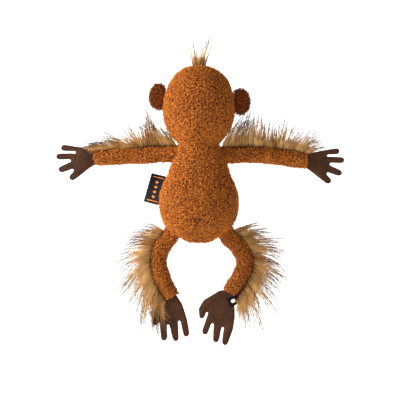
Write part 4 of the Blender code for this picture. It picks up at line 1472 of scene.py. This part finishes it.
class ToySettings(bpy.types.PropertyGroup):
    """The sizes and colours that a user would change."""
    pile_density: bpy.props.FloatProperty(
        name="Pile density", description="Most curls to a square millimetre", default=0.9, min=0.05)
    pile_spacing: bpy.props.FloatProperty(
        name="Curl spacing", description="Least distance between two curls", default=0.00098,
        unit="LENGTH")
    curl_radius: bpy.props.FloatProperty(
        name="Curl radius", description="Radius of one curl of yarn", default=0.00095,
        unit="LENGTH")
    yarn_radius: bpy.props.FloatProperty(
        name="Yarn radius", description="Radius of the curls' yarn", default=0.00036,
        unit="LENGTH")
    pile_dark: bpy.props.FloatVectorProperty(
        name="Pile, dark", description="The darkest curls", subtype="COLOR",
        default=linear("8A3B0C")[:3])
    pile_light: bpy.props.FloatVectorProperty(
        name="Pile, light", description="The lightest curls", subtype="COLOR",
        default=linear("EC8F3A")[:3])
    hair_density: bpy.props.FloatProperty(
        name="Hair density", description="Long hairs to a square millimetre of strip", default=2.3)
    hair_radius: bpy.props.FloatProperty(
        name="Hair radius", description="Radius of a long hair at its root", default=0.00023,
        unit="LENGTH")
    hair_gold: bpy.props.FloatVectorProperty(
        name="Hair, gold", description="The darker long hairs", subtype="COLOR",
        default=linear("9A5413")[:3])
    hair_cream: bpy.props.FloatVectorProperty(
        name="Hair, cream", description="The lighter long hairs", subtype="COLOR",
        default=linear("FFCD84")[:3])
    key_light: bpy.props.FloatProperty(
        name="Key light", description="Power of the light from the left, in watts", default=64.0)
    fill_light: bpy.props.FloatProperty(
        name="Fill light", description="Strength of the even light all round", default=0.1)


class ToyOperator:
    """What the toy's operators have in common: each runs one building function."""
    bl_options = {"REGISTER", "UNDO"}

    def execute(self, context):
        self.build(context.scene.toy_settings)
        return {"FINISHED"}


class TOY_OT_stage(ToyOperator, bpy.types.Operator):
    """Add the pale floor, the lights and the camera"""
    bl_idname = "toy.stage"
    bl_label = "Stage"

    def build(self, settings):
        build_stage(settings)


class TOY_OT_body(ToyOperator, bpy.types.Operator):
    """Add the stuffed torso and head with their curly pile"""
    bl_idname = "toy.body"
    bl_label = "Torso and head"

    def build(self, settings):
        build_body(settings)


class TOY_OT_limbs(ToyOperator, bpy.types.Operator):
    """Add the arms and legs with their pile and combed long hair"""
    bl_idname = "toy.limbs"
    bl_label = "Arms and legs"

    def build(self, settings):
        for side_name, kind in LIMBS:
            build_limb(side_name, kind, settings)


class TOY_OT_tuft(ToyOperator, bpy.types.Operator):
    """Add the tuft on the crown"""
    bl_idname = "toy.tuft"
    bl_label = "Crown tuft"

    def build(self, settings):
        build_tuft(settings)


class TOY_OT_mitts(ToyOperator, bpy.types.Operator):
    """Add the suede hands and feet"""
    bl_idname = "toy.mitts"
    bl_label = "Hands and feet"

    def build(self, settings):
        build_mitts(settings)


class TOY_OT_ears(ToyOperator, bpy.types.Operator):
    """Add the velour ears"""
    bl_idname = "toy.ears"
    bl_label = "Ears"

    def build(self, settings):
        build_ears(settings)


class TOY_OT_face(ToyOperator, bpy.types.Operator):
    """Add the suede face, muzzle, nose, mouth and eyes"""
    bl_idname = "toy.face"
    bl_label = "Face"

    def build(self, settings):
        build_face(settings)


class TOY_OT_labels(ToyOperator, bpy.types.Operator):
    """Add the ribbon label and the ankle label"""
    bl_idname = "toy.labels"
    bl_label = "Labels"

    def build(self, settings):
        build_labels(settings)


class TOY_OT_seams(ToyOperator, bpy.types.Operator):
    """Add the hand-sewn closing seam"""
    bl_idname = "toy.seams"
    bl_label = "Seams"

    def build(self, settings):
        build_seams(settings)


class TOY_PT_panel(bpy.types.Panel):
    """The toy's settings and pieces"""
    bl_idname = "TOY_PT_panel"
    bl_label = "Stuffed monkey"
    bl_space_type = "VIEW_3D"
    bl_region_type = "UI"
    bl_category = "Toy"

    def draw(self, context):
        for name in ToySettings.__annotations__:
            self.layout.prop(context.scene.toy_settings, name)
        for operator in OPERATORS:
            self.layout.operator(operator.bl_idname)


OPERATORS = (TOY_OT_stage, TOY_OT_body, TOY_OT_limbs, TOY_OT_tuft, TOY_OT_mitts, TOY_OT_ears,
             TOY_OT_face, TOY_OT_labels, TOY_OT_seams)
CLASSES = (ToySettings, *OPERATORS, TOY_PT_panel)


def register():
    for each in CLASSES:
        bpy.utils.register_class(each)
    bpy.types.Scene.toy_settings = bpy.props.PointerProperty(type=ToySettings)


def unregister():
    del bpy.types.Scene.toy_settings
    for each in reversed(CLASSES):
        bpy.utils.unregister_class(each)


def main():
    register()
    bpy.ops.toy.stage()
    bpy.ops.toy.body()
    bpy.ops.toy.limbs()
    bpy.ops.toy.tuft()
    bpy.ops.toy.mitts()
    bpy.ops.toy.ears()
    bpy.ops.toy.face()
    bpy.ops.toy.labels()
    bpy.ops.toy.seams()


if __name__ == "__main__":
    main()
